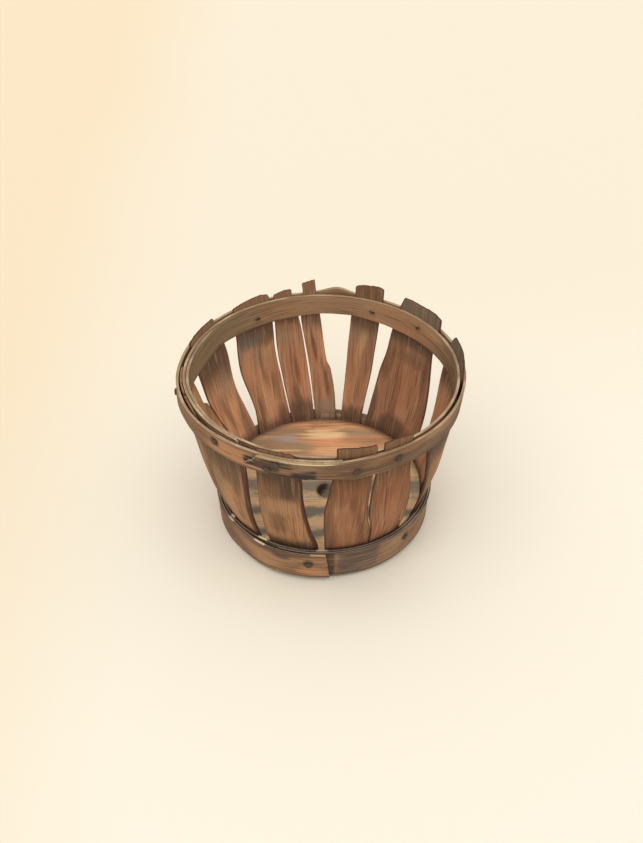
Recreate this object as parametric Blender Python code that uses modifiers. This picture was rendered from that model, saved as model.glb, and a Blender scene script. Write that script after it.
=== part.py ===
# A worn splint strawberry basket. Fourteen thin staves are pinched between two bent hoops at
# the rim and stand round a wooden bottom inside two bent bands, with iron nails through them.
# Metres, +Z up, the origin on the ground under the middle of the basket. A bearing is in
# degrees round the basket: 0 at the front (-Y), 90 at the right (+X), 180 at the back.
import math

import bmesh
import bpy
from mathutils import Matrix, Vector

MM = 0.001

# The wall, measured to the outer faces of the staves
HEIGHT = 100.6 * MM
FOOT_RADIUS = 57.4 * MM
WAIST_RADIUS = 60.4 * MM
WAIST_PINCH = 1.8 * MM
SHOULDER_RADIUS = 74.9 * MM
RIM_RADIUS = 76.9 * MM
FOOT_DEPTH = 22.0 * MM
RIM_DEPTH = 16.5 * MM
SWELL = 2.4 * MM
SWELL_LEAN = 0.4 * MM
SWELL_LOW = 0.35
SIDE_BULGE = 2.5 * MM
BULGE_BEARING = 276.0
BULGE_WIDTH_DEG = 12.0
BULGE_HEIGHT = 86.0 * MM
BULGE_REACH = 12.0 * MM
FOOT_RIGHT = 0.9 * MM
FOOT_BACK = 0.3 * MM

# Stock
STAVE_THICKNESS = 1.1 * MM
HOOP_THICKNESS = 1.5 * MM
BAND_THICKNESS = 1.6 * MM
SEAT_GAP = 0.3 * MM
TRIM = 0.5 * MM

# Hoops at the rim
OUTER_HOOP_DEPTH = 13.6 * MM
INNER_HOOP_DEPTH = 13.8 * MM
OUTER_LAP_LIFT = 2.2 * MM
OUTER_STAND = 1.2 * MM
STAND_BEARING = 298.0
STAND_WIDTH_DEG = 20.0
OUTER_BOW = 3.4 * MM
OUTER_BOW_WIDTH_DEG = 7.0
INNER_BOW = 2.4 * MM
INNER_BOW_WIDTH_DEG = 22.0
INNER_LAP_DROP = 0.4 * MM
BOW_BEARING = 173.0
OUTER_START_BEARING = 332.6
OUTER_LAP_DEG = 24.0
INNER_START_BEARING = 233.0
INNER_LAP_DEG = 92.0
LAP_MARGIN_DEG = 2.0
LAP_RAMP_DEG = 24.0
RAGGED_END_DEG = 10.0

# Bands at the foot
OUTER_BAND_LOW = 3.0 * MM
OUTER_BAND_HIGH = 22.8 * MM
INNER_BAND_HIGH = 22.6 * MM
BAND_SLANT = 0.8 * MM
SLANT_BEARING = 75.0
BAND_START_BEARING = 361.9
BAND_LAP_DEG = 25.0
BUTT_BEARING = 165.0
BUTT_GAP_DEG = 0.8

# Bottom
BOARD_TOP = 19.5 * MM
BOARD_THICKNESS = 12.5 * MM
BOARD_EDGE = 0.8 * MM
KNOT_RADIUS = 5.0 * MM
KNOT_FLOOR_RADIUS = 4.2 * MM
KNOT_DEPTH = 2.5 * MM
KNOT_X = 1.7 * MM
KNOT_Y = -8.4 * MM

# Nails
SHANK_RADIUS = 0.6 * MM
HEAD_RADIUS = 2.05 * MM
HEAD_HEIGHT = 1.1 * MM
CLINCH_RADIUS = 1.0 * MM
CLINCH_LENGTH = 1.8 * MM
NAIL_IN_BOARD = 7.0 * MM
HIDDEN_TIP = 0.5 * MM
HOLE_RUN = 2.0 * MM

# Meshing
HOOP_COLUMNS = 80
INNER_HOOP_COLUMNS = 88
BAND_COLUMNS = 72
STAVE_COLUMN_DEG = 4.6
STAVE_COLUMNS = 5
WALL_ROWS = 6
BOARD_SIDES = 72
NAIL_SIDES = 8
KNOT_SIDES = 16

# Each rim nail: bearing, share of the outer hoop's depth under the rim, and the turn of its
# clinched tip, or None where the tip doesn't come through
RIM_NAILS = (
    (276.0, 0.68, 200.0),
    (315.3, 0.37, 150.0),
    (339.6, 0.58, 215.0),
    (343.0, 0.24, 170.0),
    (373.0, 0.60, 190.0),
    (390.1, 0.49, 160.0),
    (95.0, 0.51, None),
    (131.2, 0.42, 150.0),
    (155.1, 0.54, 20.0),
    (210.8, 0.65, 5.0),
    (241.0, 0.48, None),
)

# Each foot nail: bearing, and share of the board's thickness under its top
FOOT_NAILS = (
    (352.7, 0.37),
    (46.9, 0.29),
    (99.0, 0.52),
    (150.0, 0.60),
    (208.0, 0.52),
    (262.0, 0.64),
)

# Each stave: its low-bearing edge and its high-bearing edge as (share of HEIGHT, bearing),
# and its top as (share of the width from the low edge, rise over the rim as a share of HEIGHT)
STAVES = (
    {
        "low": ((0.0, 1.0), (0.25, 0.7), (0.56, 0.5), (0.72, 2.4), (0.85, 4.0), (1.0, 5.6)),
        "high": (
            (0.0, 23.7), (0.28, 23.4), (0.39, 22.4), (0.5, 20.2),
            (0.6, 19.7), (0.85, 20.3), (1.0, 21.3),
        ),
        "top": ((0.0, 0.072), (0.5, 0.061), (1.0, 0.053)),
    },
    {
        "low": (
            (0.0, 24.4), (0.28, 24.1), (0.39, 23.1), (0.5, 21.0),
            (0.6, 20.7), (0.85, 21.7), (1.0, 24.1),
        ),
        "high": ((0.0, 44.6), (0.2, 45.0), (0.31, 43.6), (0.6, 41.0), (0.85, 37.6), (1.0, 37.0)),
        "top": ((0.0, 0.054), (0.45, 0.058), (1.0, 0.044)),
    },
    {
        "low": ((0.0, 59.5), (0.24, 58.0), (0.5, 53.6), (0.81, 48.4), (1.0, 47.6)),
        "high": ((0.0, 76.0), (0.3, 75.0), (0.6, 73.0), (1.0, 70.5)),
        "top": ((0.0, -0.026), (0.3, -0.034), (0.7, -0.030), (1.0, -0.042)),
    },
    {
        "low": ((0.0, 84.0), (0.3, 83.5), (0.6, 82.6), (1.0, 81.6)),
        "high": (
            (0.0, 106.5), (0.35, 107.0), (0.49, 107.9),
            (0.83, 110.3), (1.0, 107.9), (1.07, 105.4),
        ),
        "top": ((0.0, 0.016), (0.2, 0.060), (0.5, 0.074), (1.0, 0.070)),
    },
    {
        "low": ((0.0, 113.5), (0.35, 114.4), (0.6, 117.2), (0.86, 120.8), (1.0, 118.3)),
        "high": (
            (0.0, 155.2), (0.27, 153.1), (0.55, 150.1), (0.69, 147.4),
            (0.86, 145.6), (1.0, 143.1), (1.07, 141.2),
        ),
        "top": ((0.0, 0.068), (0.2, 0.079), (0.6, 0.074), (1.0, 0.076)),
    },
    {
        "low": ((0.0, 157.3), (0.24, 156.7), (0.55, 154.4), (0.86, 152.8), (1.0, 151.7)),
        "high": ((0.0, 169.6), (0.21, 169.1), (0.5, 168.0), (0.87, 166.4), (1.0, 164.8)),
        "top": ((0.0, 0.076), (0.2, 0.096), (0.6, 0.082), (1.0, 0.062)),
    },
    {
        "low": (
            (0.0, 172.0), (0.24, 172.5), (0.5, 175.8), (0.56, 178.0),
            (0.85, 180.8), (1.0, 182.4), (1.08, 183.0),
        ),
        "high": (
            (0.0, 184.4), (0.21, 184.6), (0.6, 187.4),
            (0.85, 189.8), (1.0, 188.5), (1.07, 188.8),
        ),
        "top": ((0.0, 0.092), (1.0, 0.070)),
    },
    {
        "low": ((0.0, 185.3), (0.21, 185.4), (0.6, 188.2), (0.85, 190.8), (1.0, 193.6)),
        "high": ((0.0, 198.7), (0.2, 199.0), (0.66, 202.3), (0.85, 202.3), (1.0, 202.0)),
        "top": ((0.0, 0.042), (0.4, 0.040), (1.0, 0.022)),
    },
    {
        "low": (
            (0.0, 199.7), (0.22, 199.9), (0.45, 201.6),
            (0.66, 203.4), (0.85, 203.5), (1.0, 204.3),
        ),
        "high": (
            (0.0, 221.2), (0.2, 221.6), (0.34, 219.9),
            (0.61, 223.6), (0.83, 223.0), (1.0, 222.8),
        ),
        "top": ((0.0, 0.034), (0.2, 0.044), (0.6, 0.033), (1.0, 0.018)),
    },
    {
        "low": (
            (0.0, 222.7), (0.2, 223.1), (0.36, 225.5),
            (0.54, 228.8), (0.82, 230.2), (1.0, 234.6),
        ),
        "high": (
            (0.0, 243.4), (0.34, 244.0), (0.45, 247.0),
            (0.6, 250.8), (0.77, 252.6), (1.0, 254.5),
        ),
        "top": ((0.0, 0.034), (0.5, 0.032), (1.0, 0.025)),
    },
    {
        "low": (
            (0.0, 244.0), (0.34, 244.7), (0.6, 252.2), (0.625, 255.4),
            (0.75, 258.3), (0.88, 262.0), (1.0, 268.0),
        ),
        "high": ((0.0, 285.4), (0.5, 285.6), (1.0, 286.0)),
        "top": ((0.0, -0.006), (0.4, -0.002), (1.0, -0.005)),
    },
    {
        "low": ((0.0, 286.4), (0.5, 286.7), (1.0, 287.1)),
        "high": ((0.0, 302.4), (0.33, 302.6), (0.6, 302.9), (0.85, 303.0), (1.0, 298.4)),
        "top": ((0.0, -0.007), (0.6, -0.010), (1.0, -0.024)),
    },
    {
        "low": ((0.0, 303.4), (0.33, 303.6), (0.6, 303.9), (0.82, 304.4), (1.0, 309.6)),
        "high": ((0.0, 324.0), (0.24, 324.8), (0.5, 326.4), (0.86, 328.2), (1.0, 329.2)),
        "top": ((0.0, 0.005), (0.6, 0.004), (0.8, -0.012), (1.0, 0.006)),
    },
    {
        "low": ((0.0, 330.2), (0.26, 330.9), (0.5, 331.8), (0.82, 333.0), (1.0, 334.8)),
        "high": (
            (0.0, 358.0), (0.25, 357.4), (0.43, 354.5),
            (0.66, 352.2), (0.83, 352.0), (1.0, 350.8),
        ),
        "top": ((0.0, 0.017), (0.6, 0.020), (0.8, 0.019), (1.0, 0.003)),
    },
)


def clearScene():
    for item in list(bpy.data.objects):
        bpy.data.objects.remove(item, do_unlink=True)


def collectionNamed(name):
    made = bpy.data.collections.new(name)
    bpy.context.scene.collection.children.link(made)
    return made


def woodMaterial(name, color, roughness=0.75):
    material = bpy.data.materials.new(name)
    material.use_nodes = True
    shader = material.node_tree.nodes["Principled BSDF"]
    shader.inputs["Base Color"].default_value = (*color, 1.0)
    shader.inputs["Roughness"].default_value = roughness
    return material


def ironMaterial(name):
    material = woodMaterial(name, (0.09, 0.08, 0.08), 0.6)
    material.node_tree.nodes["Principled BSDF"].inputs["Metallic"].default_value = 0.8
    return material


def blend(a, b, share):
    return a + (b - a) * share


def easeStep(share):
    share = min(max(share, 0.0), 1.0)
    return share * share * (3.0 - 2.0 * share)


def along(points, share):
    # The value at a share of the way along (share, value) points, held at both ends
    if share <= points[0][0]:
        return points[0][1]
    for (a, low), (b, high) in zip(points, points[1:]):
        if share <= b:
            return blend(low, high, (share - a) / (b - a))
    return points[-1][1]


def bow(bearing, centre, width):
    # A smooth hump round the basket, 1 at its centre
    away = (bearing - centre + 180.0) % 360.0 - 180.0
    return math.exp(-((away / width) ** 2))


def wallRadius(bearing, height):
    # Radius of the staves' outer faces: a cone at the foot, a little pinched at its sides, then
    # a swelling wall and an upright rim, which bulges on the left
    shoulder = HEIGHT - RIM_DEPTH
    waist = WAIST_RADIUS - WAIST_PINCH * math.sin(math.radians(bearing)) ** 4
    if height <= FOOT_DEPTH:
        return blend(FOOT_RADIUS, waist, height / FOOT_DEPTH)
    near = math.exp(-(((height - BULGE_HEIGHT) / BULGE_REACH) ** 2))
    bulge = SIDE_BULGE * near * bow(bearing, BULGE_BEARING, BULGE_WIDTH_DEG)
    if height >= shoulder:
        return blend(SHOULDER_RADIUS, RIM_RADIUS, (height - shoulder) / RIM_DEPTH) + bulge
    share = (height - FOOT_DEPTH) / (shoulder - FOOT_DEPTH)
    swell = SWELL - SWELL_LEAN * math.sin(math.radians(bearing))
    turn = math.pi * share
    hump = math.sin(turn) * (1.0 + SWELL_LOW * math.cos(turn))
    return blend(waist, SHOULDER_RADIUS, share) + swell * hump + bulge


def wallPoint(bearing, height, offset=0.0):
    # A point at an offset outside the staves' outer faces, measured square to the wall
    angle = math.radians(bearing)
    step = 0.5 * STAVE_THICKNESS
    spread = wallRadius(bearing, height + step) - wallRadius(bearing, height - step)
    radius = wallRadius(bearing, height) + offset * math.hypot(1.0, 0.5 * spread / step)
    astray = 1.0 - height / HEIGHT
    x = FOOT_RIGHT * astray + radius * math.sin(angle)
    return Vector((x, FOOT_BACK * astray - radius * math.cos(angle), height))


def wallNormal(bearing, height):
    step = 0.5 * STAVE_THICKNESS
    up = wallPoint(bearing, height + step) - wallPoint(bearing, height - step)
    angle = math.radians(bearing)
    side = Vector((math.cos(angle), math.sin(angle), 0.0))
    return side.cross(up).normalized()


def meshObject(name, bm, group, material):
    mesh = bpy.data.meshes.new(name)
    bm.to_mesh(mesh)
    bm.free()
    item = bpy.data.objects.new(name, mesh)
    group.objects.link(item)
    if material:
        mesh.materials.append(material)
    return item


def sheetObject(name, columns, rows, place, thickness, group, material):
    # A bent sheet: a grid laid on place(across, up) as its outer face and thickened inwards
    bm = bmesh.new()
    bmesh.ops.create_grid(bm, x_segments=columns, y_segments=rows, size=0.5)
    for vert in bm.verts:
        vert.co = place(vert.co.x + 0.5, vert.co.y + 0.5)
    item = meshObject(name, bm, group, material)
    solid = item.modifiers.new("thickness", "SOLIDIFY")
    solid.thickness = thickness
    solid.offset = -1.0
    solid.use_even_offset = True
    return item


def cutBy(item, cutter):
    cut = item.modifiers.new(cutter.name, "BOOLEAN")
    cut.operation = "DIFFERENCE"
    cut.solver = "EXACT"
    cut.object = cutter


def shadeSmooth(item, sharpDegrees=35.0):
    item.data.shade_smooth()
    item.data.set_sharp_from_angle(angle=math.radians(sharpDegrees))


def buildStave(number, spec, group, material):
    shoulder = HEIGHT - RIM_DEPTH
    levels = [-TRIM, 0.5 * FOOT_DEPTH, FOOT_DEPTH]
    levels += [blend(FOOT_DEPTH, shoulder, (row + 1) / WALL_ROWS) for row in range(WALL_ROWS)]
    levels += [blend(shoulder, HEIGHT, 0.5)]
    rows = len(levels)

    def place(across, up):
        row = round(up * rows)
        top = HEIGHT * (1.0 + along(spec["top"], across))
        height = top if row == rows else min(levels[row], top)
        low = along(spec["low"], height / HEIGHT)
        high = along(spec["high"], height / HEIGHT)
        return wallPoint(blend(low, high, across), height)

    width = spec["high"][0][1] - spec["low"][0][1]
    columns = max(STAVE_COLUMNS, round(width / STAVE_COLUMN_DEG))
    name = "stave_%02d" % number
    return sheetObject(name, columns, rows, place, STAVE_THICKNESS, group, material)


def lapRaise(start, turn, lap, bearing):
    # How far a strip's top layer is raised: 1 over its lap, easing to 0 past it
    turned = (turn * (bearing - start)) % 360.0
    return 1.0 - easeStep((turned - lap - LAP_MARGIN_DEG) / LAP_RAMP_DEG)


def buildHoop(name, spec, group, material):
    # A strip bent once round the basket. Its first end lies on top of the last one by
    # spec["lap"] degrees and eases down onto the wall past it.
    span = spec["turn"] * (360.0 + spec["lap"])
    step = spec["layer"]

    def place(across, up):
        # The grid always runs towards higher bearings, so that its face looks outwards
        share = across if spec["turn"] > 0 else 1.0 - across
        turned = abs(span) * share
        ease = max(0.0, 1.0 - turned / RAGGED_END_DEG)
        ragged = along(spec["end"], up) * ease
        bearing = spec["start"] + spec["turn"] * turned + ragged
        raised = 1.0 - easeStep((turned - spec["lap"] - LAP_MARGIN_DEG) / LAP_RAMP_DEG)
        low, high = spec["edges"](bearing, raised)
        height = blend(low, high, up)
        offset = spec["offset"] + spec["stand"](bearing) + step * raised
        return wallPoint(bearing, height, offset)

    rows = spec["rows"]
    return sheetObject(name, spec["columns"], rows, place, spec["thickness"], group, material)


def outerStand(bearing):
    # The outer hoop stands off the staves on the left
    return OUTER_STAND * bow(bearing, STAND_BEARING, STAND_WIDTH_DEG)


def noStand(bearing):
    return 0.0


def outerHoopEdges(bearing, raised):
    low = HEIGHT - OUTER_HOOP_DEPTH + OUTER_LAP_LIFT * max(0.0, 2.0 * raised - 1.0)
    high = HEIGHT + OUTER_BOW * bow(bearing, BOW_BEARING, OUTER_BOW_WIDTH_DEG)
    return low, high


def innerHoopEdges(bearing, raised):
    low = HEIGHT - INNER_HOOP_DEPTH + INNER_BOW * bow(bearing, BOW_BEARING, INNER_BOW_WIDTH_DEG)
    high = HEIGHT - INNER_LAP_DROP * raised
    return low, high


def outerBandEdges(bearing, raised):
    slant = math.cos(math.radians(bearing - SLANT_BEARING))
    return OUTER_BAND_LOW + BAND_SLANT * slant, OUTER_BAND_HIGH + BAND_SLANT * slant


def innerBandEdges(bearing, raised):
    slant = math.cos(math.radians(bearing - SLANT_BEARING))
    return -TRIM, INNER_BAND_HIGH + BAND_SLANT * slant


def buildHoops(group):
    hoopLayer = HOOP_THICKNESS + SEAT_GAP
    bandLayer = BAND_THICKNESS + SEAT_GAP
    specs = {
        "top_outer_hoop": {
            "start": OUTER_START_BEARING, "turn": 1, "lap": OUTER_LAP_DEG, "layer": hoopLayer,
            "offset": hoopLayer, "thickness": HOOP_THICKNESS, "edges": outerHoopEdges,
            "stand": outerStand,
            "end": ((0.0, 0.0), (0.25, -2.8), (0.5, -0.8), (0.75, 2.2), (1.0, 3.4)),
            "columns": HOOP_COLUMNS, "rows": 4, "color": (0.30, 0.20, 0.12),
        },
        "top_inner_hoop": {
            "start": INNER_START_BEARING, "turn": 1, "lap": INNER_LAP_DEG, "layer": -hoopLayer,
            "offset": -STAVE_THICKNESS - SEAT_GAP, "thickness": HOOP_THICKNESS,
            "edges": innerHoopEdges, "stand": noStand,
            "end": ((0.0, 2.2), (0.25, -0.2), (1.0, 0.0)),
            "columns": INNER_HOOP_COLUMNS, "rows": 4, "color": (0.34, 0.24, 0.14),
        },
        "bottom_inner_band": {
            "start": BUTT_BEARING, "turn": 1, "lap": -BUTT_GAP_DEG, "layer": 0.0,
            "offset": bandLayer, "thickness": BAND_THICKNESS, "edges": innerBandEdges,
            "stand": noStand,
            "end": ((0.0, 0.0), (1.0, 0.0)),
            "columns": BAND_COLUMNS, "rows": 3, "color": (0.16, 0.12, 0.09),
        },
        "bottom_outer_band": {
            "start": BAND_START_BEARING, "turn": -1, "lap": BAND_LAP_DEG, "layer": bandLayer,
            "offset": 2.0 * bandLayer, "thickness": BAND_THICKNESS, "edges": outerBandEdges,
            "stand": noStand,
            "end": ((0.0, 1.1), (1.0, -0.8)),
            "columns": BAND_COLUMNS, "rows": 3, "color": (0.27, 0.18, 0.12),
        },
    }
    made = {}
    for name, spec in specs.items():
        made[name] = buildHoop(name, spec, group, woodMaterial(name, spec["color"]))
    return made


def buildBoard(group):
    bm = bmesh.new()
    bmesh.ops.create_cone(
        bm, cap_ends=True, segments=BOARD_SIDES, radius1=1.0, radius2=1.0, depth=BOARD_THICKNESS
    )
    middle = BOARD_TOP - 0.5 * BOARD_THICKNESS
    for vert in bm.verts:
        bearing = math.degrees(math.atan2(vert.co.x, -vert.co.y))
        vert.co = wallPoint(bearing, middle + vert.co.z, -STAVE_THICKNESS - SEAT_GAP)
    rims = [edge for edge in bm.edges if abs(edge.verts[0].co.z - edge.verts[1].co.z) < 1e-6]
    bmesh.ops.bevel(
        bm, geom=rims, offset=BOARD_EDGE, offset_type="OFFSET", segments=2, profile=0.5,
        affect="EDGES", material=-1
    )
    return meshObject("bottom_board", bm, group, woodMaterial("bottom_board", (0.46, 0.29, 0.16)))


def knotCutter(group):
    bm = bmesh.new()
    bmesh.ops.create_cone(
        bm, cap_ends=True, segments=KNOT_SIDES, radius1=KNOT_FLOOR_RADIUS,
        radius2=2.0 * KNOT_RADIUS - KNOT_FLOOR_RADIUS, depth=2.0 * KNOT_DEPTH
    )
    place = Matrix.Translation((KNOT_X, KNOT_Y, BOARD_TOP))
    bmesh.ops.transform(bm, matrix=place, verts=bm.verts)
    return meshObject("knot_cutter", bm, group, None)


def groundCutter(group):
    bm = bmesh.new()
    bmesh.ops.create_cube(bm, size=1.0)
    side = 4.0 * FOOT_RADIUS
    bmesh.ops.scale(bm, vec=(side, side, FOOT_DEPTH), verts=bm.verts)
    bmesh.ops.translate(bm, vec=(0.0, 0.0, -0.5 * FOOT_DEPTH), verts=bm.verts)
    return meshObject("ground_cutter", bm, group, None)


def axisFrame(bearing, height, offset, twist=0.0):
    # A frame on the wall whose +Z points out of it
    normal = wallNormal(bearing, height)
    turn = normal.to_track_quat("Z", "Y").to_matrix().to_4x4()
    seat = wallPoint(bearing, height) + normal * offset
    return Matrix.Translation(seat) @ turn @ Matrix.Rotation(math.radians(twist), 4, "Z")


def rimNailSeat(bearing):
    # Distances from the wall to the outer face under the head and to the innermost face
    layer = HOOP_THICKNESS + SEAT_GAP
    outerLap = lapRaise(OUTER_START_BEARING, 1, OUTER_LAP_DEG, bearing)
    innerLap = lapRaise(INNER_START_BEARING, 1, INNER_LAP_DEG, bearing)
    outer = layer + outerStand(bearing) + layer * outerLap
    inner = STAVE_THICKNESS + layer + layer * innerLap
    return outer, inner


def nailObject(name, frame, length, group, material, clinched=False):
    # A domed head over a round shank with a blunt tip, turned round Z, its shank running down
    # -Z. A clinched nail's shank is bent over sideways past its length.
    bends = 4
    profile = [(0.0, HEAD_HEIGHT), (0.55 * HEAD_RADIUS, 0.85 * HEAD_HEIGHT)]
    profile += [(HEAD_RADIUS, 0.35 * HEAD_HEIGHT), (0.92 * HEAD_RADIUS, 0.0)]
    profile += [(SHANK_RADIUS, 0.0)]
    tip = length
    if clinched:
        arc = 0.5 * math.pi * CLINCH_RADIUS
        profile += [(SHANK_RADIUS, -length - arc * k / bends) for k in range(bends + 1)]
        tip = length + arc + CLINCH_LENGTH
    profile += [(0.8 * SHANK_RADIUS, -tip), (0.0, -tip)]
    bm = bmesh.new()
    verts = [bm.verts.new((radius, 0.0, height)) for radius, height in profile]
    edges = [bm.edges.new(pair) for pair in zip(verts, verts[1:])]
    bmesh.ops.spin(
        bm, geom=verts + edges, cent=(0.0, 0.0, 0.0), axis=(0.0, 0.0, 1.0),
        angle=2.0 * math.pi, steps=NAIL_SIDES, use_merge=True
    )
    bmesh.ops.remove_doubles(bm, verts=bm.verts, dist=0.001 * MM)
    if clinched:
        clinch(bm.verts, length)
    bmesh.ops.recalc_face_normals(bm, faces=bm.faces)
    nail = meshObject(name, bm, group, material)
    nail.matrix_world = frame
    shadeSmooth(nail)


def clinch(verts, straight):
    # Bends a straight shank a quarter turn towards its +X past the straight length
    for vert in verts:
        past = -vert.co.z - straight
        if past <= 0.0:
            continue
        angle = min(past / CLINCH_RADIUS, 0.5 * math.pi)
        extra = past - CLINCH_RADIUS * angle
        reach = CLINCH_RADIUS - vert.co.x
        vert.co.x = CLINCH_RADIUS - reach * math.cos(angle) + extra
        vert.co.z = -straight - reach * math.sin(angle)


def addHole(bm, frame, depth):
    bmesh.ops.create_cone(
        bm, cap_ends=True, segments=NAIL_SIDES, radius1=SHANK_RADIUS + SEAT_GAP,
        radius2=SHANK_RADIUS + SEAT_GAP, depth=depth + HOLE_RUN,
        matrix=frame @ Matrix.Translation((0.0, 0.0, 0.5 * (HOLE_RUN - depth)))
    )


def buildRimNails(group, cutters):
    holes = bmesh.new()
    iron = ironMaterial("rim_nail")
    for number, (bearing, share, twist) in enumerate(RIM_NAILS, 1):
        outer, inner = rimNailSeat(bearing)
        height = HEIGHT - share * OUTER_HOOP_DEPTH
        frame = axisFrame(bearing, height, outer + SEAT_GAP, twist or 0.0)
        through = outer + SEAT_GAP + inner
        clinched = twist is not None
        length = through if clinched else through - HIDDEN_TIP
        nailObject("rim_nail_%02d" % number, frame, length, group, iron, clinched)
        addHole(holes, frame, through + HOLE_RUN)
    return meshObject("rim_nail_holes", holes, cutters, None)


def buildFootNails(group, cutters):
    holes = bmesh.new()
    iron = ironMaterial("base_nail")
    layer = BAND_THICKNESS + SEAT_GAP
    for number, (bearing, share) in enumerate(FOOT_NAILS, 1):
        outer = 2.0 * layer + layer * lapRaise(BAND_START_BEARING, -1, BAND_LAP_DEG, bearing)
        height = BOARD_TOP - share * BOARD_THICKNESS
        frame = axisFrame(bearing, height, outer + SEAT_GAP)
        length = outer + STAVE_THICKNESS + 2.0 * SEAT_GAP + NAIL_IN_BOARD
        nailObject("base_nail_%02d" % number, frame, length, group, iron)
        addHole(holes, frame, length + SEAT_GAP)
    return meshObject("base_nail_holes", holes, cutters, None)


def hideCutters(cutters):
    for item in cutters.objects:
        item.hide_render = True
        item.display_type = "WIRE"


def centreOnGround(group):
    # Puts the origin under the middle of everything, where the basket's axis nearly is
    bpy.context.view_layer.update()
    graph = bpy.context.evaluated_depsgraph_get()
    corners = [
        item.matrix_world @ Vector(corner)
        for item in group.objects for corner in item.evaluated_get(graph).bound_box
    ]
    middle = [0.5 * (min(c[k] for c in corners) + max(c[k] for c in corners)) for k in (0, 1)]
    for collection in (group, bpy.data.collections["cutters"]):
        for item in collection.objects:
            item.location -= Vector((middle[0], middle[1], 0.0))
    print("centred by", ["%.2f mm" % (value / MM) for value in middle])


def build():
    clearScene()
    group = collectionNamed("strawberry_basket")
    cutters = collectionNamed("cutters")
    ground = groundCutter(cutters)
    rimHoles = buildRimNails(group, cutters)
    footHoles = buildFootNails(group, cutters)

    hoops = buildHoops(group)
    for name in ("top_outer_hoop", "top_inner_hoop"):
        cutBy(hoops[name], rimHoles)
    for name in ("bottom_inner_band", "bottom_outer_band"):
        cutBy(hoops[name], footHoles)
    cutBy(hoops["bottom_inner_band"], ground)

    board = buildBoard(group)
    cutBy(board, knotCutter(cutters))
    cutBy(board, footHoles)

    stave = woodMaterial("stave", (0.33, 0.19, 0.12))
    for number, spec in enumerate(STAVES, 1):
        item = buildStave(number, spec, group, stave)
        cutBy(item, rimHoles)
        cutBy(item, footHoles)
        cutBy(item, ground)

    for item in list(hoops.values()) + [board]:
        shadeSmooth(item)
    hideCutters(cutters)
    centreOnGround(group)


build()
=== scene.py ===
import math

import bmesh
import bpy
from mathutils import Matrix, Vector, noise


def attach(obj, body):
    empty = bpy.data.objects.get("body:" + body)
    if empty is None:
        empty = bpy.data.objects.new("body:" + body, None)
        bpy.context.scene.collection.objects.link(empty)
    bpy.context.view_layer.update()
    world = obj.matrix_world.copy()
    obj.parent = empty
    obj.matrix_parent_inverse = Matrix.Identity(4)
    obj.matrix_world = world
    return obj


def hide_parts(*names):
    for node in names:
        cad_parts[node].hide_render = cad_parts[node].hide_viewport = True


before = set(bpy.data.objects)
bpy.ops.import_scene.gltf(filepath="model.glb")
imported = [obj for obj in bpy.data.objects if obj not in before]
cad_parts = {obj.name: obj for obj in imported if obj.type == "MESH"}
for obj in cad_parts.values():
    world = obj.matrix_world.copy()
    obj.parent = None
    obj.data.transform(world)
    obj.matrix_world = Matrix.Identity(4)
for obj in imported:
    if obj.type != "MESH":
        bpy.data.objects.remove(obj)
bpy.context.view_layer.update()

print("frame loaded with", len(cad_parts), "nodes")

# The basket's wall, in metres, measured to the outer faces of the staves
wall = {
    "height": 0.1006, "footRadius": 0.0574, "waistRadius": 0.0604, "waistPinch": 0.0018,
    "shoulderRadius": 0.0749, "rimRadius": 0.0769, "footDepth": 0.022, "rimDepth": 0.0165,
    "swell": 0.0024, "swellLean": 0.0004, "swellLow": 0.35,
    "footRight": 0.0009, "footBack": 0.0003, "axisX": 0.000889, "axisY": 0.00077,
    "bulge": 0.0025, "bulgeBearing": 276.0, "bulgeWidth": 12.0, "bulgeHeight": 0.086,
    "bulgeReach": 0.012, "grainRadius": 0.07,
}
stock = {"stave": 0.0011, "hoop": 0.0015, "band": 0.0016, "gap": 0.0003}


# Plain numbers
def blend(a, b, share):
    return a + (b - a) * share


def easeStep(share):
    share = min(max(share, 0.0), 1.0)
    return share * share * (3.0 - 2.0 * share)


def along(points, share):
    # The value at a share of the way along (share, value) points, held at both ends
    if share <= points[0][0]:
        return points[0][1]
    for (a, low), (b, high) in zip(points, points[1:]):
        if share <= b:
            return blend(low, high, (share - a) / (b - a))
    return points[-1][1]


def softAlong(points, share):
    # The same, as a smooth curve through the points
    if share <= points[0][0] or share >= points[-1][0] or len(points) < 3:
        return along(points, share)
    k = next(k for k in range(len(points) - 1) if share <= points[k + 1][0])
    (a, low), (b, high) = points[k], points[k + 1]
    run = b - a
    before = points[k - 1] if k else points[k]
    after = points[k + 2] if k + 2 < len(points) else points[k + 1]
    slopeIn = (high - before[1]) / (b - before[0])
    slopeOut = (after[1] - low) / (after[0] - a)
    t = (share - a) / run
    return (
        low * (1 + 2 * t) * (1 - t) ** 2 + high * t * t * (3 - 2 * t)
        + run * slopeIn * t * (1 - t) ** 2 - run * slopeOut * t * t * (1 - t)
    )


def bow(bearing, centre, width):
    away = (bearing - centre + 180.0) % 360.0 - 180.0
    return math.exp(-((away / width) ** 2))


def wobble(x, y=0.0, z=0.0):
    return noise.noise(Vector((x, y, z)))


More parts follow.
